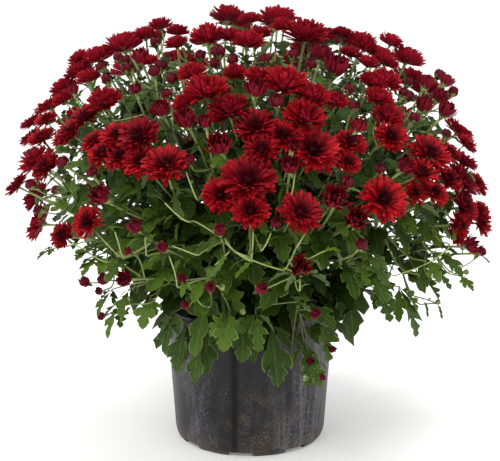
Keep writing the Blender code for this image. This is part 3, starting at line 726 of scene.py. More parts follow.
class Strewn(NamedTuple):
    """Leaves strewn along a route, pointing every way: at which parts of it, and how long and pale."""

    parts: tuple[float, ...]
    slip: float
    rise: float
    length: float
    spread: Span
    taper: Span
    tone: float
    small: bool

    def leaves(self, route: Route, draw: Random) -> list[Leaf]:
        """Strew the leaves.

        Args:
            route: The route.
            draw: The source of chance.

        Returns:
            The leaves.
        """
        leaves = []
        for part in self.parts:
            foot = along_route(route, part + astray_by(draw, self.slip))
            along = astray(draw, 1.0) + UP * self.rise
            length = self.length * draw.uniform(*self.spread) * (self.taper[0] - part * self.taper[1])
            leaves.append(drawn_leaf(draw, foot, along, length, 0.8, self.tone, self.small))
        return leaves


@dataclass(frozen=True)
class LeafPlan:
    """Where leaves grow: up each stem, on each stalk, inside the plant and under its crown."""

    low_length: float = 0.080
    length: float = 0.060
    stalk_length: float = 0.052
    lowest: float = 0.26
    highest: float = 0.92
    lean: float = 1.3
    rise: float = 0.30
    across: float = 0.60
    step_turn: float = 0.37
    stalk_lean: float = 0.78
    stalk_facing: float = 0.20
    on_stem: int = 6
    stalk_part: float = 0.40
    fill_parts: tuple[float, ...] = (0.10, 0.22, 0.55, 0.70)
    fill_length: float = 0.050
    fill_slip: float = 0.06
    fill_lean: float = 0.5
    fill_sizes: Span = (0.7, 1.15)
    fill_taper: float = 0.35
    inner: int = 9
    inner_lowest: float = 0.35
    inner_length: float = 0.062
    inner_lean: float = 0.7
    inner_rise: float = 0.2
    inner_sizes: Span = (0.75, 1.2)
    crown_level: float = 0.40
    small: Strewn = Strewn((0.36, 0.44, 0.52, 0.60, 0.68, 0.75, 0.82, 0.88, 0.93), 0.04, 0.45, 0.028,
                           (0.6, 1.3), (1.35, 0.6), 1.0, True)
    crown: Strewn = Strewn((0.46, 0.62, 0.78), 0.06, 0.25, 0.036, (0.7, 1.2), (1.0, 0.0), 0.7, False)

    def on_stalk(self, stalk: Stalk, head: Head, draw: Random) -> list[Leaf]:
        """Lay out the leaves of a stalk: the model's own first, then those that fill the gaps.

        Args:
            stalk: The stalk.
            head: Its head.
            draw: The source of chance.

        Returns:
            The leaves.
        """
        foot = along_route(stalk.route, self.stalk_part)
        along = outward(foot) * self.stalk_lean + around(stalk.head * GOLDEN_TURN)
        leaves = [drawn_leaf(draw, foot, along + head.facing * self.stalk_facing, self.stalk_length, 0.3)]
        for part in self.fill_parts:
            way = around(draw.uniform(0.0, 2.0 * math.pi), rise=draw.uniform(-0.1, 0.5))
            foot = along_route(stalk.route, part + astray_by(draw, self.fill_slip))
            length = self.fill_length * draw.uniform(*self.fill_sizes) * (1.0 - part * self.fill_taper)
            leaves.append(drawn_leaf(draw, foot, outward(foot) * self.fill_lean + way, length, 0.5))
        return leaves + self.small.leaves(stalk.route, draw)

    def leaves(self, index: int, stem: Stem, heads: list[Head]) -> list[Leaf]:
        """Lay out the leaves of one leafy stem.

        Args:
            index: The stem's number.
            stem: The stem.
            heads: All heads.

        Returns:
            The leaves.
        """
        draw = Seed.LEAVES.draw(index)
        leaves = []
        out = outward(stem.route[-1])
        for step in range(self.on_stem):
            part = step / (self.on_stem - 1)
            foot = along_route(stem.route, self.lowest + (self.highest - self.lowest) * part)
            way = around((step + index * self.step_turn) * GOLDEN_TURN)
            lean = out * (self.lean - part / 2.0) + way * (self.across + part / 2.0)
            length = self.low_length + (self.length - self.low_length) * part
            leaves.append(drawn_leaf(draw, foot, lean + UP * self.rise, length, 0.25))
        for stalk in stem.stalks:
            leaves += self.on_stalk(stalk, heads[stalk.head], draw)
        for _ in range(self.inner):
            foot = along_route(stem.route, draw.uniform(self.inner_lowest, 1.0))
            along = astray(draw, 1.0) + out * self.inner_lean + UP * self.inner_rise
            length = self.inner_length * draw.uniform(*self.inner_sizes)
            leaves.append(drawn_leaf(draw, foot, along, length, 0.5, 0.5))
        for stalk in stem.stalks:
            if stalk.route[-1].z > self.crown_level:
                leaves += self.crown.leaves(stalk.route, draw)
        return leaves


# The dome as the shaders see it: what scales and lifts it to a ball of radius 1, and its outer layer; leaves
# and stalks deeper inside it get painted shade
DOME_SCALE = (3.47, 3.47, 4.24)
DOME_RISE = -1.23
DOME_LAYER = (0.42, 0.95)


class Signal:
    """One output of a shader node; arithmetic on it adds Math nodes."""

    def __init__(self, graph: "Graph", socket: NodeSocket) -> None:
        """Keep the graph that the output belongs to, and the output."""
        self.graph = graph
        self.socket = socket

    def maths(self, operation: str, *values: "Signal | Number", clamp: bool = False) -> "Signal":
        """Add a Math node.

        Args:
            operation: The node's operation.
            values: Its inputs in order.
            clamp: Whether the result is held between 0 and 1.

        Returns:
            The node's output.
        """
        settings = {"operation": operation, "use_clamp": clamp}
        return self.graph.node("ShaderNodeMath", settings, dict(enumerate(values)))

    def __add__(self, other: "Signal | Number") -> "Signal":
        """Return this plus other."""
        return self.maths("ADD", self, other)

    def __radd__(self, other: Number) -> "Signal":
        """Return other plus this."""
        return self.maths("ADD", other, self)

    def __sub__(self, other: "Signal | Number") -> "Signal":
        """Return this less other."""
        return self.maths("SUBTRACT", self, other)

    def __rsub__(self, other: Number) -> "Signal":
        """Return other less this."""
        return self.maths("SUBTRACT", other, self)

    def __mul__(self, other: "Signal | Number") -> "Signal":
        """Return this times other."""
        return self.maths("MULTIPLY", self, other)

    def __truediv__(self, other: "Signal | Number") -> "Signal":
        """Return this divided by other."""
        return self.maths("DIVIDE", self, other)

    def __abs__(self) -> "Signal":
        """Return this without its sign."""
        return self.maths("ABSOLUTE", self)

    def held(self) -> "Signal":
        """Return this, held between 0 and 1."""
        return self.maths("ADD", self, 0.0, clamp=True)

    def sine(self) -> "Signal":
        """Return the sine of this."""
        return self.maths("SINE", self)

    def step(self, low: float, high: float) -> "Signal":
        """Return a smooth step of this, from 0 at low to 1 at high."""
        inputs = {"Value": self, "From Min": low, "From Max": high}
        return self.graph.node("ShaderNodeMapRange", {"interpolation_type": "SMOOTHSTEP"}, inputs)

    def output(self, name: str) -> "Signal":
        """Return another output of the same node."""
        return Signal(self.graph, self.socket.node.outputs[name])


class Graph:
    """The nodes of one material while it is being made."""

    def __init__(self, name: str, constants: dict[str, float | Colour]) -> None:
        """Start a material.

        Args:
            name: The material's name.
            constants: Values of the shader's own sockets.
        """
        self.material = bpy.data.materials.new(name)
        self.material.use_nodes = True
        self.tree = self.material.node_tree
        self.shader = self.tree.nodes["Principled BSDF"]
        for socket, value in constants.items():
            self.shader.inputs[socket].default_value = value

    def node(self, kind: str, settings: dict[str, object], inputs: dict[str | int, object]) -> Signal:
        """Add a node.

        Args:
            kind: The node's type.
            settings: Its settings, set before its sockets.
            inputs: The values or signals of its sockets.

        Returns:
            The node's first output that is in use.
        """
        node = self.tree.nodes.new(kind)
        for key, value in settings.items():
            setattr(node, key, value)
        for key, value in inputs.items():
            if isinstance(value, Signal):
                self.tree.links.new(value.socket, node.inputs[key])
            else:
                node.inputs[key].default_value = value
        return Signal(self, next(output for output in node.outputs if output.enabled))

    def place(self) -> Signal:
        """Return Object coordinates."""
        return self.node("ShaderNodeTexCoord", {}, {}).output("Object")

    def axes(self, vector: Signal) -> tuple[Signal, Signal, Signal]:
        """Return the three parts of a vector."""
        parts = self.node("ShaderNodeSeparateXYZ", {}, {"Vector": vector})
        return parts, parts.output("Y"), parts.output("Z")

    def uv(self) -> tuple[Signal, Signal]:
        """Return the piece's own coordinates: across and along."""
        across, along, _ = self.axes(self.node("ShaderNodeUVMap", {"uv_map": "UVMap"}, {}))
        return across, along

    def attribute(self, name: str) -> Signal:
        """Return a number that the piece carries."""
        return self.node("ShaderNodeAttribute", {"attribute_name": name}, {}).output("Fac")

    def stretched(self, vector: Signal, scale: tuple[float, float, float], rise: float = 0.0) -> Signal:
        """Return a vector with its axes scaled, and then lifted."""
        inputs = {"Vector": vector, "Scale": scale, "Location": (0.0, 0.0, rise)}
        return self.node("ShaderNodeMapping", {}, inputs)

    def outwards(self, vector: Signal) -> Signal:
        """Return how far out in the dome of the plant a place is: 0 deep inside it and 1 near its surface; it
        sets painted shade.
        """
        inside = self.stretched(vector, DOME_SCALE, DOME_RISE)
        far = self.node("ShaderNodeVectorMath", {"operation": "LENGTH"}, {0: inside}).output("Value")
        return far.step(*DOME_LAYER)

    def noise(self, vector: Signal, scale: float, detail: float = 3.0, rough: float = 0.55) -> Signal:
        """Return a cloudy pattern between 0 and 1."""
        inputs = {"Vector": vector, "Scale": scale, "Detail": detail, "Roughness": rough}
        return self.node("ShaderNodeTexNoise", {}, inputs)

    def specks(self, vector: Signal, scale: float, size: float) -> Signal:
        """Return scattered round specks: 1 within them and 0 elsewhere."""
        spots = self.node("ShaderNodeTexVoronoi", {}, {"Vector": vector, "Scale": scale})
        return 1.0 - spots.step(size * 0.6, size)

    def blend(self, share: Signal | float, low: Signal | Colour, high: Signal | Colour) -> Signal:
        """Return a colour between two, at a share of the way."""
        return self.node("ShaderNodeMix", {"data_type": "RGBA"}, {0: share, 6: low, 7: high})

    def brightened(self, colour: Signal, amount: Signal) -> Signal:
        """Return a colour times an amount of light."""
        settings = {"operation": "SCALE"}
        return self.node("ShaderNodeVectorMath", settings, {0: colour, "Scale": amount})

    def finish(self, colour: Signal, rough: Signal, height: Signal, depth: float) -> Material:
        """Lead the signals into the shader.

        Args:
            colour: The base colour.
            rough: The roughness.
            height: The height of a fine relief, from 0 to about 1.
            depth: How deep the relief is, in metres.

        Returns:
            The finished material.
        """
        relief = {"Height": height, "Distance": depth, "Strength": 1.0}
        ends = {"Base Color": colour, "Roughness": rough, "Normal": self.node("ShaderNodeBump", {}, relief)}
        for socket, signal in ends.items():
            self.tree.links.new(signal.socket, self.shader.inputs[socket])
        return self.material


def shade(red: float, green: float, blue: float) -> Colour:
    """Return a colour, from linear amounts of light."""
    return (red, green, blue, 1.0)


@dataclass(frozen=True)
class PetalFinish:
    """Velvety dark red petals, darker towards the eye, with a dull, paler reverse; painted shade darkens each
    petal's base and painted highlights lighten its tip and rims.
    """

    face: Colour = shade(0.540, 0.0030, 0.0070)
    deep: Colour = shade(0.230, 0.0010, 0.0050)
    # the dark eye's own colour, also used as painted shade at every petal's base
    eye_and_base_shade: Colour = shade(0.026, 0.0006, 0.0035)
    reverse: Colour = shade(0.420, 0.0130, 0.0380)
    pale_foot: Colour = shade(0.420, 0.1200, 0.1400)
    # painted highlight colour for the petal tips and rims
    tip: Colour = shade(0.640, 0.0280, 0.0400)
    aged: Colour = shade(0.090, 0.0010, 0.0090)
    grooves: float = 26.0
    grain: float = 900.0

    def make(self) -> Material:
        """Make the material.

        Returns:
            The finished material.
        """
        graph = Graph("velvet petals", {"Specular IOR Level": 0.14})
        across, along = graph.uv()
        back = across.step(0.999, 1.001)
        tone = graph.attribute("tone")
        eye = graph.attribute("eye")
        grain = graph.noise(graph.place(), self.grain)
        colour = graph.blend(tone, self.deep, self.face)
        colour = graph.blend(back, colour, self.reverse)
        # painted highlight: the tips of bright petals and thin rims blend towards a paler glint
        rim = (abs(across - back - 0.5) * 2.0).step(0.62, 1.0) * along.step(0.35, 0.70)
        colour = graph.blend((along.step(0.72, 1.0) * tone * 0.5 + rim * 0.35).held(), colour, self.tip)
        # the dark eye is the bloom's own colour; the darkening of every petal towards its base is painted
        # shade
        inner = (eye * (1.0 - along.step(0.80, 1.0) * 0.12) + (1.0 - along.step(0.0, 0.55)) * 0.50).held()
        foot = back * (1.0 - along.step(0.15, 0.50)) * eye.step(0.2, 0.4) * (1.0 - eye.step(0.80, 0.95))
        colour = graph.blend(inner, colour, self.eye_and_base_shade)
        colour = graph.blend(foot * 0.6, colour, self.pale_foot)
        colour = graph.blend(graph.attribute("age") * 0.75, colour, self.aged)
        groove = (across * self.grooves).sine() * 0.5 + 0.5
        colour = graph.brightened(colour, 0.86 + groove * 0.12 + grain * 0.16)
        return graph.finish(colour, 0.46 + grain * 0.22, groove + grain * 0.6, 0.00012)


@dataclass(frozen=True)
class LeafFinish:
    """Matte green leaves with pale veins and edges, and a greyer underside; painted shade darkens them deep
    inside the plant.
    """

    dark: Colour = shade(0.014, 0.038, 0.003)
    fresh: Colour = shade(0.094, 0.170, 0.010)
    under: Colour = shade(0.066, 0.105, 0.035)
    vein: Colour = shade(0.130, 0.195, 0.030)
    edge: Colour = shade(0.220, 0.310, 0.095)
    rib_width: float = 0.030
    vein_count: float = 30.0
    vein_slope: float = 17.0

    def make(self) -> Material:
        """Make the material.

        Returns:
            The finished material.
        """
        graph = Graph("lobed leaves", {"Specular IOR Level": 0.20})
        across, along = graph.uv()
        back = across.step(0.999, 1.001)
        side = abs(across - back - 0.5) * 2.0
        tone = graph.attribute("tone")
        cloud = graph.noise(graph.place(), 55.0)
        grain = graph.noise(graph.place(), 700.0)
        rib = 1.0 - side.step(self.rib_width, self.rib_width * 3.0)
        branch = (along * self.vein_count - side * self.vein_slope).sine()
        branch = branch.step(0.82, 1.0) * (1.0 - side.step(0.5, 0.9)) * 0.55
        veins = rib.maths("MAXIMUM", rib * 0.8, branch)
        outer = graph.outwards(graph.place())
        colour = graph.blend((tone * tone * 0.8 + cloud * 0.6 - 0.16).held(), self.dark, self.fresh)
        colour = graph.blend(back, colour, self.under)
        colour = graph.blend(veins * 0.55, colour, self.vein)
        colour = graph.blend(side.step(0.86, 0.98) * 0.55, colour, self.edge)
        # painted shade: leaves deep inside the dome of the plant are darker
        colour = graph.brightened(colour, (0.80 + grain * 0.4) * (0.36 + outer * 0.70))
        return graph.finish(colour, 0.42 + cloud * 0.25, veins * 0.8 + grain * 0.5, 0.00030)


@dataclass(frozen=True)
class StalkFinish:
    """Pale green stalks and calyces with fine ridges; the stems turn dark and brown towards the soil, and
    painted shade darkens them deep inside the plant.
    """

    pale: Colour = shade(0.300, 0.360, 0.115)
    green: Colour = shade(0.080, 0.130, 0.022)
    woody: Colour = shade(0.070, 0.058, 0.024)
    soil_level: float = 0.14
    pale_level: float = 0.27

    def make(self) -> Material:
        """Make the material.

        Returns:
            The finished material.
        """
        graph = Graph("stalks", {"Specular IOR Level": 0.4})
        spot = graph.place()
        _, _, height = graph.axes(spot)
        cloud = graph.noise(spot, 90.0)
        streak = graph.noise(graph.stretched(spot, (1.0, 1.0, 0.12)), 1400.0)
        tone = graph.attribute("tone")
        colour = graph.blend((tone * 0.7 + cloud * 0.5).held(), self.green, self.pale)
        low = 1.0 - height.step(self.soil_level, self.pale_level)
        colour = graph.blend(low * (1.0 - tone.step(0.32, 0.42)), colour, self.woody)
        outer = graph.outwards(spot)
        # painted shade: stalks deep inside the dome of the plant are darker
        colour = graph.brightened(colour, (0.75 + streak * 0.5) * (0.45 + outer * 0.55))
        return graph.finish(colour, 0.40 + cloud * 0.25, streak, 0.00015)


@dataclass(frozen=True)
class PotFinish:
    """Charcoal moulded plastic, satin, with long scuffs, dried soil low on its front, and pale specks; the
    scuffs are strengthened on the left and right of the front as a painted sheen, and the upright groove is
    darkened as painted shade.
    """

    plastic: Colour = shade(0.0070, 0.0065, 0.0080)
    # the grey of the real scuffs, which also paints a sheen on the left and right of the front
    scuff_and_sheen_grey: Colour = shade(0.175, 0.166, 0.176)
    soil: Colour = shade(0.150, 0.112, 0.070)
    speck: Colour = shade(0.420, 0.400, 0.370)
    smudge_middle: Span = (0.010, 0.050)
    smudge_reach: Span = (0.046, 0.040)
    foot_height: float = 0.030
    groove_x: float = -0.0186
    groove_reach: float = 0.0075

    def make(self) -> Material:
        """Make the material.

        Returns:
            The finished material.
        """
        graph = Graph("charcoal pot plastic", {"Specular IOR Level": 0.26})
        spot = graph.place()
        x, y, z = graph.axes(spot)
        streak = graph.noise(graph.stretched(spot, (1.0, 1.0, 0.06)), 150.0, 5.0)
        patch = graph.noise(graph.stretched(spot, (1.0, 1.0, 0.35)), 34.0, 4.0)
        crumbs = graph.noise(spot, 620.0, 4.0, 0.7)
        # painted sheen: scuffs are weighted up on the left and right of the front and down in its middle and
        # at the back
        front = (0.0 - y).step(0.0, 0.04)
        sides = (0.10 + abs(x + 0.006).step(0.018, 0.056) * 0.90) * (0.45 + front * 0.55)
        mottle = graph.noise(spot, 260.0, 5.0, 0.7)
        scuff_and_sheen = streak.step(0.36, 0.74) * 0.6 + mottle.step(0.40, 0.70) * 0.7
        scuff_and_sheen = scuff_and_sheen * patch.step(0.28, 0.62) * sides
        colour = graph.blend((scuff_and_sheen * 0.75).held(), self.plastic, self.scuff_and_sheen_grey)
        aside = (x - self.smudge_middle[0]) / self.smudge_reach[0]
        above = (z - self.smudge_middle[1]) / self.smudge_reach[1]
        near = 1.0 - (aside * aside + above * above).step(0.15, 1.25)
        cloud = graph.noise(spot, 42.0, 5.0, 0.65)
        dust = near * (0.0 - y).step(0.04, 0.08) * crumbs.step(0.47, 0.62) * cloud.step(0.40, 0.56)
        low = (1.0 - z.step(0.0, self.foot_height)) * (0.25 + crumbs.step(0.40, 0.66)) * 0.55
        dirt = (dust * 0.80 + low * cloud.step(0.30, 0.60)).held()
        colour = graph.blend(dirt, colour, self.soil)
        specks = graph.specks(spot, 170.0, 0.13) * cloud.step(0.52, 0.60)
        colour = graph.blend(specks * 0.6, colour, self.speck)
        # painted shade: the colour is darkened along the upright groove on the front of the wall
        groove = (1.0 - abs(x - self.groove_x).step(0.001, self.groove_reach)) * (0.0 - y).step(0.0, 0.02)
        rough = (0.34 + patch * 0.18 + scuff_and_sheen * 0.12 + dirt * 0.35 + groove * 0.25).held()
        height = crumbs * (0.25 + dirt) + streak * 0.3
        return graph.finish(graph.brightened(colour, 1.0 - groove * 0.75), rough, height, 0.00035)


@dataclass(frozen=True)
class SoilFinish:
    """Dark, moist potting mix with paler fibres."""

    dark: Colour = shade(0.022, 0.014, 0.009)
    pale: Colour = shade(0.095, 0.062, 0.038)

    def make(self) -> Material:
        """Make the material.

        Returns:
            The finished material.
        """
        graph = Graph("potting mix", {"Specular IOR Level": 0.25})
        spot = graph.place()
        crumbs = graph.noise(spot, 420.0, 6.0, 0.7)
        cloud = graph.noise(spot, 60.0)
        colour = graph.blend((crumbs * 1.2 + cloud * 0.5 - 0.45).held(), self.dark, self.pale)
        return graph.finish(colour, 0.80 + cloud * 0.18, crumbs, 0.0016)


@dataclass(frozen=True)
class FloorFinish:
    """A plain pale floor."""

    pale: Colour = shade(0.92, 0.92, 0.92)
    glow: float = 0.14

    def make(self) -> Material:
        """Make the material.

        Returns:
            The finished material.
        """
        constants = {"Base Color": self.pale, "Roughness": 0.9, "Emission Color": self.pale,
                     "Emission Strength": self.glow}
        return Graph("plain floor", constants).material


MARKS = ("tone", "eye", "age")


def new_shape() -> BMesh:
    """Start an empty shape that can carry the pieces' own coordinates and marks.

    Returns:
        The shape.
    """
    shape = bmesh.new()
    shape.loops.layers.uv.new("UVMap")
    for mark in MARKS:
        shape.verts.layers.float.new(mark)
    return shape


def as_mesh(shape: BMesh, name: str) -> Mesh:
    """Turn a shape into a mesh.

    Args:
        shape: The shape, which is used up.
        name: The mesh's name.

    Returns:
        The mesh.
    """
    mesh = bpy.data.meshes.new(name)
    shape.to_mesh(mesh)
    shape.free()
    return mesh


def mark(shape: BMesh, points: list[BMVert], name: str, value: float) -> None:
    """Write a number on points.

    Args:
        shape: Their shape.
        points: The points.
        name: What the number is of: one of the marks.
        value: The number.
    """
    layer = shape.verts.layers.float[name]
    for point in points:
        point[layer] = value


def stamp(shape: BMesh, blank: Mesh, place: Matrix, **marks: float) -> list[BMVert]:
    """Add a blank to a shape.

    Args:
        shape: The shape that grows.
        blank: The mesh that is added.
        place: Where it goes.
        marks: Numbers written on its points, over those that it carries.

    Returns:
        The new points.
    """
    start = len(shape.verts)
    shape.from_mesh(blank)
    shape.verts.ensure_lookup_table()
    fresh = shape.verts[start:]
    bmesh.ops.transform(shape, matrix=place, verts=fresh)
    for name, value in marks.items():
        mark(shape, fresh, name, value)
    return fresh


def spin_section(shape: BMesh, section: list[tuple], steps: int) -> None:
    """Turn a section about the Z axis into a closed form with its faces outwards.

    Args:
        shape: The shape that it is added to.
        section: The section's points, from the axis back to the axis.
        steps: The faces round the form.
    """
    points = [shape.verts.new(point) for point in section]
    edges = [shape.edges.new(pair) for pair in zip(points, points[1:])]
    bmesh.ops.spin(shape, geom=points + edges, cent=(0.0, 0.0, 0.0), axis=UP, angle=2.0 * math.pi,
                   steps=steps, use_merge=True)
    bmesh.ops.remove_doubles(shape, verts=shape.verts, dist=1e-6)
    bmesh.ops.recalc_face_normals(shape, faces=shape.faces)


def dress(name: str, shape: BMesh, finishes: tuple[Material, ...], slot: str, *nodes: str) -> Object:
    """Turn a shape into a finished piece of the plant.

    Args:
        name: The piece's name.
        shape: Its shape, in place.
        finishes: Its materials.
        slot: The material slot of the model that it stands in; not used.
        nodes: The model's nodes that it stands for.

    Returns:
        The piece.
    """
    mesh = as_mesh(shape, name)
    mesh.shade_smooth()
    for finish in finishes:
        mesh.materials.append(finish)
    piece = in_scene(name, mesh)
    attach(piece, "root")
    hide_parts(*nodes)
    LOG.info("%s: %d faces", name, len(mesh.polygons))
    return piece


def sweep(shape: BMesh, route: list[Vector], radii: list[float], sides: int, tone: float) -> None:
    """Draw a closed round bar along a route.

    Args:
        shape: The shape that grows.
        route: The bar's middle line.
        radii: Its radius at each point.
        sides: Its sides.
        tone: The tone written on its points.
    """
    runs = [(high - low).normalized() for low, high in zip(route, route[1:])]
    lines = [runs[0]] + [(one + two).normalized() for one, two in zip(runs, runs[1:])] + [runs[-1]]
    turn = lines[0].to_track_quat("Z", "Y")
    frames = []
    for number, (point, line, radius) in enumerate(zip(route, lines, radii)):
        if number:
            turn = lines[number - 1].rotation_difference(line) @ turn
        frames.append(Matrix.LocRotScale(point, turn, Vector((radius, radius, radius))))
    ring = bmesh.ops.create_circle(shape, cap_ends=True, segments=sides, radius=1.0,
                                   matrix=frames[0])["verts"]
    bmesh.ops.reverse_faces(shape, faces=ring[0].link_faces[:])
    edges = list({edge for vert in ring for edge in vert.link_edges})
    mark(shape, ring, "tone", tone)
    for low, high in zip(frames, frames[1:]):
        grown = bmesh.ops.extrude_edge_only(shape, edges=edges)["geom"]
        ring = [item for item in grown if isinstance(item, BMVert)]
        edges = [item for item in grown if isinstance(item, BMEdge)]
        bmesh.ops.transform(shape, matrix=high @ low.inverted(), verts=ring)
        mark(shape, ring, "tone", tone)
    bmesh.ops.contextual_create(shape, geom=edges)


class Row(NamedTuple):
    """A row across a blade: its place along the rib, how far ahead its ends are, and its half width."""

    station: float
    ahead: float
    half: float


@dataclass(frozen=True)
class Blade:
    """A thin closed blade, one unit long along +Y with its face to +Z: a petal, a bract or a leaf."""

    rows: tuple[Row, ...]
    broad: float = 1.0
    thickness: float = 0.02
    cup: float = 0.0
    bend: float = 0.0
    ripple: float = 0.0
    layer: int = 0

    def spine(self) -> list[tuple[float, float, float]]:
        """Bend the middle line of the blade.

        Returns:
            For each row: its place along and above, and its slope.
        """
        points = [(0.0, 0.0, 0.0)]
        for low, high in zip(self.rows, self.rows[1:]):
            along, above, _ = points[-1]
            slope = self.bend * (low.station + high.station) / 2.0
            reach = high.station - low.station
            points.append((along + math.cos(slope) * reach, above + math.sin(slope) * reach,
                           self.bend * high.station))
        return points

    def blank(self, name: str) -> Mesh:
        """Cut the blade out of a grid, with a copy of it as its underside.

        Args:
            name: The mesh's name.

        Returns:
            The blade's mesh.
        """
        shape = new_shape()
        tracks = shape.loops.layers.uv.active
        last = len(self.rows) - 1
        bmesh.ops.create_grid(shape, x_segments=2, y_segments=last, size=0.5, calc_uvs=True)
        copy = bmesh.ops.duplicate(shape, geom=shape.verts[:] + shape.edges[:] + shape.faces[:])["geom"]
        under = {item for item in copy if isinstance(item, BMVert)}
        backs = [item for item in copy if isinstance(item, BMFace)]
        bmesh.ops.reverse_faces(shape, faces=backs)
        for face in backs:
            for loop in face.loops:
                loop[tracks].uv.x += 1.0
        spine = self.spine()
        for vert in shape.verts:
            number = round((vert.co.y + 0.5) * last)
            side = vert.co.x * 2.0
            row = self.rows[number]
            half = row.half * self.broad
            along, above, slope = spine[number]
            ahead = row.ahead * (abs(side) if number < last else 1.0 - abs(side))
            lift = self.cup * half * side * side
            lift += self.ripple * math.sin(number * 2.1 + side * 1.7) * abs(side)
            if not vert.is_boundary:
                lift += self.thickness * (-0.5 if vert in under else 0.5)
            run = ahead * math.cos(slope) - lift * math.sin(slope)
            rise = ahead * math.sin(slope) + lift * math.cos(slope)
            vert.co = Vector((side * half, along + run, above + rise))
        rim = [edge for edge in shape.edges if edge.is_boundary]
        for edge in rim:
            edge.smooth = False
        rim_points = [vert for vert in shape.verts if vert.is_boundary]
        bmesh.ops.remove_doubles(shape, verts=rim_points, dist=1e-5)
        for face in shape.faces:
            face.material_index = self.layer
        return as_mesh(shape, name)


class Tier(NamedTuple):
    """A ring of petals or bracts in a head, in shares of the head's radius; its angles are in degrees."""

    count: int
    root: float
    height: float
    length: float
    rise: float
    bend: float
    width: float
    eye: float


PETAL_ROWS = (Row(0.0, 0.0, 0.042), Row(0.38, 0.0, 0.084), Row(0.78, 0.0, 0.120), Row(0.955, 0.045, 0.080))
CUPPED_ROWS = (Row(0.0, 0.0, 0.046), Row(0.26, 0.0, 0.080), Row(0.52, 0.0, 0.105), Row(0.78, 0.0, 0.108),
               Row(0.96, 0.040, 0.055))
BRACT_ROWS = (Row(0.0, 0.0, 0.16), Row(0.5, 0.0, 0.19), Row(1.0, 0.04, 0.05))


@dataclass(frozen=True)
class HeadForm:
    """The form of a head: its rings of petals, the core that they close round, and its green calyx."""

    name: str
    tiers: tuple[Tier, ...]
    bracts: Tier
    cup: tuple[float, float, float, float]
    core: float = 0.0
    blanks: int = 5
    rows: tuple[Row, ...] = PETAL_ROWS
    stray: float = 16.0
    turn_stray: float = 0.30
    rise_stray: float = 7.0
    roll_stray: float = 0.4
    yaw_stray: float = 0.12
    eye_stray: float = 0.15
    broads: Span = (0.85, 1.15)
    cups: Span = (0.3, 0.9)
    lengths: Span = (0.87, 1.05)
    tones: Span = (0.15, 1.0)
    thickness: float = 0.016
    calyx_sides: int = 8

    def ring(self, shape: BMesh, tier: Tier, rows: tuple[Row, ...], draw: Random) -> None:
        """Set a ring of blades.

        Args:
            shape: The shape that grows.
            tier: The ring.
            rows: The outline of a blade.
            draw: The source of chance.
        """
        start = draw.uniform(0.0, 2.0 * math.pi)
        for step in range(tier.count):
            turn = start + (step + astray_by(draw, self.turn_stray)) * 2.0 * math.pi / tier.count
            bend = math.radians(tier.bend + astray_by(draw, self.stray))
            blade = Blade(rows, broad=tier.width * draw.uniform(*self.broads), cup=draw.uniform(*self.cups),
                          bend=bend, thickness=self.thickness)
            blank = blade.blank("blade")
            rise = math.radians(tier.rise + astray_by(draw, self.rise_stray))
            length = tier.length * draw.uniform(*self.lengths)
            place = (Matrix.Rotation(turn, 4, "Z") @ Matrix.Translation((0.0, tier.root, tier.height))
                     @ Matrix.Rotation(rise, 4, "X")
                     @ Matrix.Rotation(astray_by(draw, self.roll_stray), 4, "Y")
                     @ Matrix.Rotation(astray_by(draw, self.yaw_stray), 4, "Z") @ Matrix.Scale(length, 4))
            eye = clamped(tier.eye + astray_by(draw, self.eye_stray))
            stamp(shape, blank, place, eye=eye, tone=draw.uniform(*self.tones))
            bpy.data.meshes.remove(blank)

    def petals(self, draw: Random) -> Mesh:
        """Make the red part of a head of radius 1.

        Args:
            draw: The source of chance.

        Returns:
            Its mesh.
        """
        shape = new_shape()
        for tier in self.tiers:
            self.ring(shape, tier, self.rows, draw)
        if self.core:
            ball = bmesh.ops.create_icosphere(shape, subdivisions=1, radius=self.core)["verts"]
            mark(shape, ball, "eye", 1.0)
        return as_mesh(shape, self.name)

    def calyx(self, draw: Random) -> Mesh:
        """Make the green part under a head of radius 1: a cup with bracts round it.

        Args:
            draw: The source of chance.

        Returns:
            Its mesh.
        """
        shape = new_shape()
        low, foot, high, mouth = self.cup
        place = Matrix.Translation((0.0, 0.0, (low + high) / 2.0))
        bmesh.ops.create_cone(shape, cap_ends=True, segments=self.calyx_sides, radius1=foot, radius2=mouth,
                              depth=high - low, matrix=place)
        self.ring(shape, self.bracts, BRACT_ROWS, draw)
        return as_mesh(shape, self.name + "_calyx")


EYED = HeadForm("eyed_bloom", (
    Tier(27, 0.09, -0.18, 0.96, 3.0, 12.0, 0.77, 0.00),
    Tier(27, 0.09, -0.17, 0.98, 13.0, 12.0, 0.77, 0.00),
    Tier(27, 0.09, -0.15, 0.93, 24.0, 10.0, 0.76, 0.03),
    Tier(24, 0.08, -0.14, 0.82, 34.0, 10.0, 0.78, 0.20),
    Tier(20, 0.07, -0.13, 0.64, 42.0, 16.0, 0.82, 0.72),
    Tier(16, 0.06, -0.12, 0.48, 52.0, 24.0, 0.90, 1.00),
    Tier(12, 0.03, -0.11, 0.36, 70.0, 34.0, 1.05, 1.00),
), Tier(10, 0.12, -0.21, 0.30, 14.0, 20.0, 1.0, 0.0), (-0.29, 0.075, -0.13, 0.19), core=0.20, blanks=7)

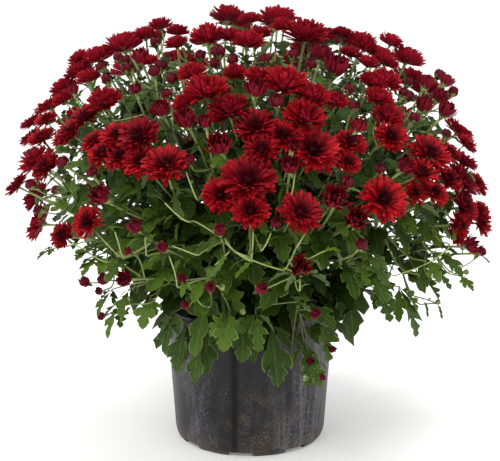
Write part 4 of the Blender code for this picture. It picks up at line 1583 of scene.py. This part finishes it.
FULL = HeadForm("full_bloom", (
    Tier(26, 0.09, -0.18, 0.95, 6.0, 18.0, 0.77, 0.00),
    Tier(26, 0.09, -0.17, 1.00, 17.0, 18.0, 0.77, 0.00),
    Tier(26, 0.09, -0.15, 0.99, 29.0, 18.0, 0.76, 0.00),
    Tier(23, 0.08, -0.14, 0.94, 41.0, 18.0, 0.78, 0.00),
    Tier(20, 0.07, -0.13, 0.88, 53.0, 20.0, 0.80, 0.08),
    Tier(15, 0.05, -0.11, 0.81, 65.0, 24.0, 0.84, 0.30),
    Tier(10, 0.03, -0.10, 0.74, 78.0, 30.0, 0.92, 0.55),
), Tier(10, 0.12, -0.21, 0.30, 18.0, 22.0, 1.0, 0.0), (-0.29, 0.075, -0.13, 0.19), core=0.20, blanks=6)

HALF_OPEN = HeadForm("half_open_bloom", (
    Tier(17, 0.30, -0.64, 1.50, 38.0, 50.0, 0.95, 0.40),
    Tier(16, 0.26, -0.58, 1.52, 49.0, 50.0, 0.95, 0.46),
    Tier(14, 0.20, -0.50, 1.42, 60.0, 50.0, 0.95, 0.76),
    Tier(10, 0.10, -0.42, 1.28, 73.0, 48.0, 1.05, 1.00),
), Tier(9, 0.26, -0.70, 0.62, 36.0, 44.0, 1.6, 0.0), (-1.02, 0.14, -0.48, 0.42), blanks=6, rows=CUPPED_ROWS,
               stray=12.0)

BUD = HeadForm("bud", (
    Tier(18, 0.24, -0.66, 2.10, 18.0, 136.0, 0.84, 0.72),
    Tier(13, 0.20, -0.58, 1.92, 28.0, 136.0, 0.90, 0.92),
), Tier(9, 0.26, -0.72, 1.00, 22.0, 62.0, 1.7, 0.0), (-1.02, 0.22, -0.45, 0.56), core=0.66, blanks=4,
               rows=CUPPED_ROWS, stray=7.0)


class HeadStock:
    """Ready-made heads of each form, which are set on the plant at every size and turn."""

    tuft_level: float = 0.425
    calyx_blanks: int = 2
    calyx_tone: float = 0.75

    def __init__(self) -> None:
        """Make the stock."""
        draw = Seed.HEAD_BLANKS.draw()
        self.petals: dict[str, list[Mesh]] = {}
        self.calyces: dict[str, list[Mesh]] = {}
        for form in (EYED, FULL, HALF_OPEN, BUD):
            self.petals[form.name] = [form.petals(draw) for _ in range(form.blanks)]
            self.calyces[form.name] = [form.calyx(draw) for _ in range(self.calyx_blanks)]

    def form(self, head: Head) -> HeadForm:
        """Return a head's form."""
        opened = FULL if head.middle.z > self.tuft_level else EYED
        return {HeadKind.HALF: HALF_OPEN, HeadKind.BUD: BUD}.get(head.kind, opened)

    def add(self, shape: BMesh, head: Head, number: int, red: bool) -> None:
        """Set the red or the green part of a head on the plant.

        Args:
            shape: The shape that grows.
            head: The head.
            number: Its number, which chooses the blank and the age.
            red: Whether it is the red part.
        """
        stock = (self.petals if red else self.calyces)[self.form(head).name]
        least, spread = AGES[head.kind]
        age = least + spread * Seed.AGES.draw(number).random() ** 2
        marks = {"age": age} if red else {"tone": self.calyx_tone}
        stamp(shape, stock[number % len(stock)], head.frame, **marks)


LEAF_ROWS = (
    Row(0.0, 0.0, 0.016), Row(0.16, 0.0, 0.020), Row(0.23, 0.0, 0.150), Row(0.28, 0.04, 0.190),
    Row(0.34, 0.0, 0.060), Row(0.41, 0.01, 0.230), Row(0.46, 0.08, 0.335), Row(0.51, 0.09, 0.270),
    Row(0.57, 0.01, 0.085), Row(0.65, 0.03, 0.200), Row(0.70, 0.08, 0.260), Row(0.74, 0.08, 0.195),
    Row(0.79, 0.01, 0.090), Row(0.86, 0.02, 0.150), Row(0.92, 0.03, 0.150), Row(0.97, 0.04, 0.080),
)
LONG_LEAF_ROWS = (
    Row(0.0, 0.0, 0.018), Row(0.14, 0.0, 0.026), Row(0.24, 0.02, 0.100), Row(0.32, 0.06, 0.175),
    Row(0.37, 0.02, 0.115), Row(0.44, 0.03, 0.200), Row(0.50, 0.10, 0.300), Row(0.54, 0.16, 0.325),
    Row(0.58, 0.15, 0.240), Row(0.63, 0.03, 0.115), Row(0.72, 0.03, 0.155), Row(0.78, 0.06, 0.190),
    Row(0.83, 0.04, 0.130), Row(0.90, 0.03, 0.130), Row(0.96, 0.04, 0.075),
)
SMALL_LEAF_ROWS = (
    Row(0.0, 0.0, 0.022), Row(0.25, 0.0, 0.030), Row(0.38, 0.04, 0.170), Row(0.47, 0.0, 0.080),
    Row(0.60, 0.05, 0.180), Row(0.72, 0.0, 0.085), Row(0.86, 0.02, 0.100), Row(0.97, 0.03, 0.025),
)


class LeafStock:
    """Ready-made lobed leaves, one unit long and flat, which are bent where they grow."""

    large_blanks: int = 9
    small_blanks: int = 3
    ahead_spread: Span = (0.6, 1.4)
    half_spread: Span = (0.86, 1.14)
    broads: Span = (0.85, 1.15)
    cups: Span = (0.2, 0.5)
    thickness: float = 0.010
    ripple: float = 0.018

    def __init__(self) -> None:
        """Cut some leaves of each size."""
        draw = Seed.LEAF_BLANKS.draw()
        self.large = [self.cut(LONG_LEAF_ROWS if step % 3 else LEAF_ROWS, draw)
                      for step in range(self.large_blanks)]
        self.small = [self.cut(SMALL_LEAF_ROWS, draw) for _ in range(self.small_blanks)]

    def cut(self, rows: tuple[Row, ...], draw: Random) -> Mesh:
        """Cut one leaf.

        Args:
            rows: The mean outline.
            draw: The source of chance.

        Returns:
            Its mesh.
        """
        varied = tuple(Row(station, ahead * draw.uniform(*self.ahead_spread),
                           half * draw.uniform(*self.half_spread)) for station, ahead, half in rows)
        blade = Blade(varied, broad=draw.uniform(*self.broads), thickness=self.thickness,
                      cup=draw.uniform(*self.cups), ripple=self.ripple, layer=1)
        return blade.blank("leaf")

    def grow(self, shape: BMesh, leaf: Leaf, number: int) -> None:
        """Grow a leaf, drooping towards its tip.

        Args:
            shape: The shape that grows.
            leaf: The leaf.
            number: Its number, which chooses the blank.
        """
        blanks = self.small if leaf.small else self.large
        fresh = stamp(shape, blanks[number % len(blanks)], Matrix.Identity(4), tone=leaf.tone)
        side = leaf.along.cross(UP).normalized()
        side.rotate(Matrix.Rotation(leaf.roll, 3, leaf.along))
        upper = side.cross(leaf.along).normalized()
        for vert in fresh:
            across, along, lift = vert.co
            down = leaf.droop * along * along
            place = side * across + leaf.along * along + upper * (lift - down * 0.5) - UP * down * 0.5
            vert.co = leaf.foot + place * leaf.length


@dataclass
class Kit:
    """What the pieces of the plant are made from: all heads, the ready-made parts and the materials."""

    heads: list[Head]
    head_stock: HeadStock
    leaf_stock: LeafStock
    petal: Material
    stalk: Material
    leaf: Material


@dataclass(frozen=True)
class SideShoot:
    """A thin side shoot: its route, the head at its end, if any, whether that is still green, and leaves."""

    route: Route
    head: Head | None = None
    green: bool = False
    leaves: tuple[Leaf, ...] = ()


@dataclass
class LeafyStem:
    """A main stem with its stalks, calyces, leaves and side shoots, and the small heads that grow on it."""

    number: int
    plan: Stem
    leaves: list[Leaf]
    shoots: list[SideShoot]
    seated: set[int]
    foot_radius: float = 0.0034
    end_radius: float = 0.0022
    stalk_radius: float = 0.0014
    shoot_radius: float = 0.0009
    stem_sides: int = 8
    stalk_sides: int = 6
    shoot_sides: int = 5
    stalk_start: float = 1.15
    shoot_start: float = 1.1
    thinning: float = 0.3
    seat_radii: Span = (0.075, 1.2)
    stem_tone: float = 0.3
    stalk_tones: Span = (0.45, 1.0)
    shoot_tones: Span = (0.30, 0.90)
    knee_start: float = 0.18
    knee_end: float = 0.80
    knee_steps: int = 6

    def rounded(self, route: Route) -> list[Vector]:
        """Round a stalk's knee.

        Args:
            route: The stalk's start, knee and foot.

        Returns:
            The points of the smooth stalk.
        """
        start, knee, foot = route
        low = start.lerp(knee, self.knee_start)
        high = knee.lerp(foot, self.knee_end)
        parts = [step / (self.knee_steps + 1.0) for step in range(1, self.knee_steps + 1)]
        return [start, low, *(bow(low, knee, high, part) for part in parts), high, foot]

    def thinned(self, radius: float, start: float, count: int) -> list[float]:
        """Return radii that get less along a bar, from a share of a radius at its start."""
        return [radius * (start - self.thinning * step / count) for step in range(count)]

    def greens(self, kit: Kit) -> BMesh:
        """Model everything green on the stem.

        Args:
            kit: What it is made from.

        Returns:
            The shape.
        """
        draw = Seed.TONES.draw(self.number)
        shape = new_shape()
        count = len(self.plan.route) * 3
        points = [along_route(self.plan.route, step / count) for step in range(count + 1)]
        shrink = self.foot_radius - self.end_radius
        radii = [self.foot_radius - shrink * step / count for step in range(count + 1)]
        sweep(shape, points, radii, self.stem_sides, self.stem_tone)
        for stalk in self.plan.stalks:
            head = kit.heads[stalk.head]
            route = self.rounded(stalk.route[:2] + (head.seat,))
            radii = self.thinned(self.stalk_radius, self.stalk_start, len(route))
            opened, closed = self.seat_radii
            radii[-1] = head.radius * opened if head.kind is HeadKind.OPEN else self.stalk_radius * closed
            sweep(shape, route, radii, self.stalk_sides, draw.uniform(*self.stalk_tones))
            kit.head_stock.add(shape, head, stalk.head, red=False)
        for number, shoot in enumerate(self.shoots):
            radii = self.thinned(self.shoot_radius, self.shoot_start, len(shoot.route))
            light = clamped(shoot.route[-1].z * 8.0 - 1.0, least=0.1)
            sweep(shape, list(shoot.route), radii, self.shoot_sides, draw.uniform(*self.shoot_tones) * light)
            if shoot.head:
                kit.head_stock.add(shape, shoot.head, number, red=False)
            if shoot.green:
                kit.head_stock.add(shape, shoot.head, number, red=True)
        leaves = self.leaves + [leaf for shoot in self.shoots for leaf in shoot.leaves]
        for number, leaf in enumerate(leaves):
            kit.leaf_stock.grow(shape, leaf, number + self.number)
        return shape

    def reds(self, kit: Kit) -> BMesh:
        """Model the petals of the small blooms and buds that grow on the stem.

        Args:
            kit: What they are made from.

        Returns:
            The shape.
        """
        shape = new_shape()
        for stalk in self.plan.stalks:
            if stalk.head not in self.seated:
                kit.head_stock.add(shape, kit.heads[stalk.head], stalk.head, red=True)
        for number, shoot in enumerate(self.shoots):
            if shoot.head and not shoot.green:
                kit.head_stock.add(shape, shoot.head, number, red=True)
        return shape

    def build(self, kit: Kit) -> None:
        """Make the stem's pieces.

        Args:
            kit: What they are made from.
        """
        node = f"leafy_stem_{self.number + 1:02d}"
        dress(f"greens_of_{node}", self.greens(kit), (kit.stalk, kit.leaf), "leaves_and_stems", node)
        reds = self.reds(kit)
        if len(reds.verts):
            dress(f"heads_of_{node}", reds, (kit.petal,), "petals", node)
        else:
            reds.free()


@dataclass
class Bunch:
    """A bloom, or blooms whose petals meet, seated on their stalks as one node of the model."""

    node: str
    members: list[int]

    def build(self, kit: Kit) -> None:
        """Make the petals.

        Args:
            kit: What they are made from.
        """
        shape = new_shape()
        for number in self.members:
            kit.head_stock.add(shape, kit.heads[number], number, red=True)
        dress(f"petals_of_{self.node}", shape, (kit.petal,), "petals", self.node)


@dataclass
class Plant:
    """The whole plant: its layout, matched with the model's nodes, and its pieces."""

    view: Viewpoint
    dome: Dome
    stem_plan: StemPlan
    leaf_plan: LeafPlan
    seat_reach: float = 0.0006
    shoot_parts: tuple[float, ...] = (0.30, 0.45, 0.60, 0.72, 0.84)
    stem_parts: tuple[float, ...] = (0.14, 0.22, 0.30, 0.45, 0.60, 0.72, 0.84)
    shoot_length: float = 0.035
    knee_part: float = 0.4
    head_depth: float = 0.010
    leaf_depth: float = 0.006
    leaf_droop: float = 0.35
    low_level: float = 0.30
    twig_depth: float = 0.007
    twig_stray: float = 0.7
    twig_leaf: float = 0.020
    twig_leaves: tuple[Span, ...] = ((0.50, 1.0), (0.72, -1.0), (0.98, 1.5))
    first_droop: float = 0.25
    side_droop: float = 0.4
    side_sizes: Span = (0.45, 0.75)

    def seats(self, heads: list[Head]) -> dict[str, list[int]]:
        """Find the node of the model that holds each seated bloom.

        Args:
            heads: All heads.

        Returns:
            The numbers of the blooms in each node of petals.
        """
        names = [name for name in FRAME["nodes"] if name.startswith(("bloom_", "bunch_"))]
        corners = [(vert.co, name) for name in names for vert in FRAME["nodes"][name].data.vertices]
        tree = KDTree(len(corners))
        for number, (corner, _) in enumerate(corners):
            tree.insert(corner, number)
        tree.balance()
        seats: dict[str, list[int]] = {name: [] for name in names}
        for number, head in enumerate(heads):
            _, corner, distance = tree.find(head.foot)
            if head.kind is HeadKind.OPEN and distance < self.seat_reach:
                seats[corners[corner][1]].append(number)
        return seats

    def fork(self, stems: list[Stem], end: Vector, out: Vector) -> tuple[int, Vector, Vector]:
        """Find where a side shoot leaves the plant.

        Args:
            stems: The stems.
            end: The shoot's end.
            out: The way that the shoot runs to it.

        Returns:
            The number of the stem, the place on it or on one of its stalks, and the shoot's ideal root.
        """
        root = end - out * self.shoot_length
        forks = [(number, along_route(stalk.route, part)) for number, stem in enumerate(stems)
                 for stalk in stem.stalks for part in self.shoot_parts]
        forks += [(number, along_route(stem.route, part)) for number, stem in enumerate(stems)
                  for part in self.stem_parts]
        number, place = min(forks, key=lambda item: (item[1] - root).length)
        return number, place, root

    def shoots(self, stems: list[Stem]) -> list[list[SideShoot]]:
        """Grow the side shoots that end where the photograph shows further heads, leaves and twigs.

        Args:
            stems: The stems.

        Returns:
            The side shoots of each stem.
        """
        draw = Seed.SHOOTS.draw()
        shoots: list[list[SideShoot]] = [[] for _ in stems]
        groups = ((MORE_OPEN_SEEN, HeadKind.OPEN), (SIDE_BUDS_SEEN, HeadKind.BUD),
                  (GREEN_BUDS_SEEN, HeadKind.BUD), (LEAVES_SEEN, None))
        for kind, spot in ((kind, spot) for group, kind in groups for spot in group):
            line = self.view.sight_line(spot)
            place = self.dome.meet(self.view.eye, line)
            out = self.dome.facing(place, draw)
            size = self.view.width_at(place, spot)
            leaves: tuple[Leaf, ...] = ()
            head = None
            if kind:
                head = Head(kind, place + line * self.head_depth, out, size / 2.0, draw.uniform(0.0, 6.0))
                end = head.seat
            else:
                low = clamped((self.low_level - place.z) * 8.0)
                along = (out - UP * (self.leaf_droop + low)).normalized()
                end = place + line * self.leaf_depth - along * size * 0.5
                leaves = self.spray(end, along, size, draw)
                out = outward(end)
            number, fork, _ = self.fork(stems, end, out)
            knee = end - out * (end - fork).length * self.knee_part
            green = spot in GREEN_BUDS_SEEN
            shoots[number].append(SideShoot(eased([fork, knee, end]), head, green, leaves))
        for twig in TWIGS_SEEN:
            lines = [self.view.sight_line(Seen(*spot, 0)) for spot in twig]
            points = [self.dome.meet(self.view.eye, line) + line * self.twig_depth for line in lines]
            number, fork, root = self.fork(stems, points[0], outward(points[0]))
            route = eased([fork, root.lerp(points[0], 0.5), *points])
            way = (points[-1] - points[0]).normalized()
            stray = astray(draw, self.twig_stray)
            leaves = tuple(Leaf(along_route(route, part), (way + stray * turn).normalized(),
                                self.twig_leaf * draw.uniform(0.7, 1.2), astray_by(draw, 0.6),
                                draw.random(), small=True)
                           for part, turn in self.twig_leaves)
            shoots[number].append(SideShoot(route, leaves=leaves))
        return shoots

    def spray(self, end: Vector, along: Vector, size: float, draw: Random) -> tuple[Leaf, ...]:
        """Set a leaf and two smaller ones at the end of a shoot.

        Args:
            end: The end of the shoot.
            along: The way that the first leaf points.
            size: The length of the first leaf.
            draw: The source of chance.

        Returns:
            The leaves.
        """
        aside = along.cross(UP).normalized()
        leaves = [Leaf(end, along, size, astray_by(draw, 0.4), draw.uniform(0.0, 0.75),
                       droop=self.first_droop)]
        for turn in (-1.0, 1.0):
            way = (along + aside * turn * draw.uniform(0.5, 1.1) + UP * draw.uniform(0.0, 0.4)).normalized()
            length = size * draw.uniform(*self.side_sizes)
            leaves.append(Leaf(end, way, length, astray_by(draw, 0.6), draw.random(), droop=self.side_droop))
        return tuple(leaves)

    def build(self) -> None:
        """Make every piece of the plant."""
        heads = self.dome.heads(self.view)
        stems = self.stem_plan.stems(heads)
        seats = self.seats(heads)
        seated = {number for members in seats.values() for number in members}
        LOG.info("%d heads, %d of them seated in %d nodes", len(heads), len(seated), len(seats))
        kit = Kit(heads, HeadStock(), LeafStock(), PetalFinish().make(), StalkFinish().make(),
                  LeafFinish().make())
        for node, members in seats.items():
            Bunch(node, members).build(kit)
        shoots = self.shoots(stems)
        for number, plan in enumerate(stems):
            leaves = self.leaf_plan.leaves(number, plan, heads)
            LeafyStem(number, plan, leaves, shoots[number], seated).build(kit)


@dataclass
class NurseryPot:
    """The moulded nursery pot: tapered wall, rolled lip, rounded foot with notches, and drain holes."""

    height: float = 0.172
    top_radius: float = 0.1045
    foot_radius: float = 0.0938
    thickness: float = 0.0020
    lip_proud: float = 0.0030
    lip_height: float = 0.0140
    foot_round: float = 0.0110
    ring_width: float = 0.0090
    floor_lift: float = 0.0060
    floor_thickness: float = 0.0022
    notch_count: int = 8
    notch_width: float = 0.0300
    notch_turn: float = math.radians(-7.5)
    drain_count: int = 4
    drain_radius: float = 0.0060
    drain_ring: float = 0.0480
    groove_turn: float = math.radians(-10.8)
    groove_width: float = math.radians(2.2)
    groove_depth: float = 0.0024
    edge_angle: float = math.radians(38.0)
    steps: int = 240

    def wall(self, height: float) -> float:
        """Return the radius of the wall's outer face at a height."""
        rise = self.height - self.lip_height
        return self.foot_radius + (self.top_radius - self.foot_radius) * height / rise

    def profile(self) -> list[Span]:
        """Draw half of the pot's section.

        Returns:
            Radius and height of its points, from the middle of the inside floor outwards.
        """
        floor_top = self.floor_lift + self.floor_thickness
        top, lip_low = self.height, self.height - self.lip_height
        mouth, shoulder = self.wall(top), self.wall(lip_low)
        ring = self.foot_radius - self.ring_width
        foot = self.foot_round * 0.3
        return [
            (0.0, floor_top), (self.wall(floor_top) - self.thickness * 2.0, floor_top),
            (mouth - self.thickness, top - self.thickness * 0.4),
            (mouth - self.thickness * 0.4, top - 0.0001),
            (mouth + self.lip_proud * 0.4, top),
            (mouth + self.lip_proud * 0.85, top - self.thickness * 0.35),
            (mouth + self.lip_proud, top - self.thickness),
            (shoulder + self.lip_proud, lip_low + 0.0008), (shoulder + self.lip_proud * 0.8, lip_low),
            (shoulder, lip_low - self.thickness * 0.5),
            *((self.wall(level), level) for level in (0.130, 0.100, 0.070, 0.040, self.foot_round * 1.6)),
            (self.wall(self.foot_round) - 0.0002, self.foot_round),
            (self.foot_radius - foot * 0.15, foot * 1.9), (self.foot_radius - foot * 0.55, foot * 0.9),
            (self.foot_radius - foot * 1.1, foot * 0.25), (self.foot_radius - foot * 1.6, 0.0),
            (ring, 0.0), (ring - self.thickness, self.floor_lift), (0.0, self.floor_lift),
        ]

    def body(self) -> BMesh:
        """Turn the section about the pot's axis, and press the upright groove into the wall.

        Returns:
            The shape.
        """
        shape = new_shape()
        spin_section(shape, [(0.0, -radius, height) for radius, height in self.profile()], self.steps)
        for vert in shape.verts:
            radius = math.hypot(vert.co.x, vert.co.y)
            height = vert.co.z
            if height < self.foot_round or radius < self.wall(height) - self.thickness * 0.5:
                continue
            off = (math.atan2(vert.co.x, -vert.co.y) - self.groove_turn) / self.groove_width
            press = self.groove_depth * math.exp(-off * off) * (height < self.height - self.lip_height)
            vert.co.x *= 1.0 - press / radius
            vert.co.y *= 1.0 - press / radius
        return shape

    def cutters(self) -> list[BMesh]:
        """Shape what is cut out of the foot and the floor.

        Returns:
            The shapes.
        """
        cutters = []
        for step in range(self.notch_count):
            notch = bmesh.new()
            bmesh.ops.create_cube(notch, size=1.0)
            size = (self.notch_width, self.ring_width * 4.0, self.floor_lift * 2.0 - 0.0003)
            bmesh.ops.scale(notch, verts=notch.verts, vec=size)
            turn = Matrix.Rotation(self.notch_turn + 2.0 * math.pi * step / self.notch_count, 4, "Z")
            notch.transform(turn @ Matrix.Translation((0.0, -self.foot_radius, 0.0)))
            cutters.append(notch)
        for step in range(self.drain_count):
            drain = bmesh.new()
            bmesh.ops.create_cone(drain, cap_ends=True, segments=24, radius1=self.drain_radius,
                                  radius2=self.drain_radius, depth=self.floor_lift * 4.0)
            turn = Matrix.Rotation(2.0 * math.pi * (step + 0.5) / self.drain_count, 4, "Z")
            drain.transform(turn @ Matrix.Translation((self.drain_ring, 0.0, self.floor_lift)))
            cutters.append(drain)
        return cutters

    def build(self, finish: Material) -> None:
        """Make the pot.

        Args:
            finish: Its material.
        """
        piece = dress("nursery_pot", self.body(), (finish,), "pot_plastic", "pot")
        guides = bpy.data.collections.new("pot cutters")
        for shape in self.cutters():
            guides.objects.link(bpy.data.objects.new("cutter", as_mesh(shape, "cutter")))
        hollow = piece.modifiers.new("Notches", "BOOLEAN")
        hollow.operation = "DIFFERENCE"
        hollow.operand_type = "COLLECTION"
        hollow.collection = guides
        graph = bpy.context.evaluated_depsgraph_get()
        piece.data = bpy.data.meshes.new_from_object(piece.evaluated_get(graph))
        piece.modifiers.clear()
        for guide in list(guides.objects):
            bpy.data.objects.remove(guide)
        bpy.data.collections.remove(guides)
        piece.data.set_sharp_from_angle(angle=self.edge_angle)


@dataclass
class PottingMix:
    """The soil: a low mound with crumbs lying on it."""

    top: float = 0.1500
    mound: float = 0.0060
    low: float = 0.0085
    low_radius: float = 0.0895
    radius: float = 0.1015
    rings: int = 14
    steps: int = 72
    relief: float = 0.0022
    crumbs: int = 420
    crumb_sizes: Span = (0.0007, 0.0026)
    crumb_edge: float = 0.004

    def surface(self, x: float, y: float) -> float:
        """Find the height of the soil at a place.

        Args:
            x: How far the place is to the right of the middle.
            y: How far it is behind the middle.

        Returns:
            The height.
        """
        far = min(math.hypot(x, y) / self.radius, 1.0)
        bump = noise.noise(Vector((x * 90.0, y * 90.0, 0.3)))
        bump += 0.5 * noise.noise(Vector((x, y, 0.0)) * 260.0)
        return self.top + self.mound * (1.0 - far) + self.relief * bump * min(1.0, (1.0 - far) * 8.0)

    def build(self, finish: Material) -> None:
        """Make the soil.

        Args:
            finish: Its material.
        """
        shape = new_shape()
        profile = [(0.0, self.low), (self.low_radius, self.low)]
        profile += [(self.radius * step / self.rings, self.top) for step in range(self.rings, -1, -1)]
        spin_section(shape, [(radius, 0.0, height) for radius, height in profile], self.steps)
        for vert in shape.verts:
            if vert.co.z > self.top - 1e-6:
                vert.co.z = self.surface(vert.co.x, vert.co.y)
        draw = Seed.CRUMBS.draw()
        for _ in range(self.crumbs):
            turn = draw.uniform(0.0, 2.0 * math.pi)
            far = (self.radius - self.crumb_edge) * math.sqrt(draw.random())
            x, y = far * math.cos(turn), far * math.sin(turn)
            size = Vector([draw.uniform(*self.crumb_sizes) for _ in range(3)])
            place = Matrix.LocRotScale(Vector((x, y, self.surface(x, y))), None, size)
            axis = Vector((x + 0.1, y, 0.05)).normalized()
            place = place @ Matrix.Rotation(draw.uniform(0.0, 3.0), 4, axis)
            bmesh.ops.create_icosphere(shape, subdivisions=1, radius=1.0, matrix=place)
        dress("potting_mix", shape, (finish,), "potting_soil", "soil")


class Lamp(NamedTuple):
    """A square light: its name, where it hangs, the length of its side, and its power in watts."""

    name: str
    place: Vector
    size: float
    power: float


@dataclass
class Studio:
    """A plain pale floor under soft lights."""

    floor_size: float = 30.0
    sky: float = 1.12
    aim: Vector = Vector((0.0, 0.0, 0.28))
    lamps: tuple[Lamp, ...] = (Lamp("key", Vector((-1.0, -1.9, 2.1)), 0.9, 30.0),
                               Lamp("top", Vector((0.3, 0.2, 2.4)), 1.0, 20.0))

    def build(self, finish: Material) -> None:
        """Lay the floor and light the scene.

        Args:
            finish: The floor's material.
        """
        shape = new_shape()
        bmesh.ops.create_grid(shape, x_segments=1, y_segments=1, size=self.floor_size / 2.0)
        floor = in_scene("floor", as_mesh(shape, "floor"))
        floor.data.materials.append(finish)
        world = bpy.data.worlds.new("pale room")
        world.use_nodes = True
        backdrop = world.node_tree.nodes["Background"]
        backdrop.inputs["Color"].default_value = shade(1.0, 1.0, 1.0)
        backdrop.inputs["Strength"].default_value = self.sky
        bpy.context.scene.world = world
        for lamp in self.lamps:
            light = bpy.data.lights.new(lamp.name, "AREA")
            light.size = lamp.size
            light.energy = lamp.power
            holder = in_scene(lamp.name, light)
            holder.location = lamp.place
            holder.rotation_euler = (lamp.place - self.aim).to_track_quat("Z", "Y").to_euler()
        bpy.context.scene.view_settings.view_transform = "Standard"


def main() -> None:
    """Build the plant in its pot."""
    logging.basicConfig(level=logging.INFO, format="%(name)s: %(message)s")
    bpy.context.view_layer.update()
    view = Viewpoint()
    view.make_camera()
    NurseryPot().build(PotFinish().make())
    PottingMix().build(SoilFinish().make())
    Plant(view, Dome(), StemPlan(), LeafPlan()).build()
    Studio().build(FloorFinish().make())


if __name__ == "__main__":
    main()
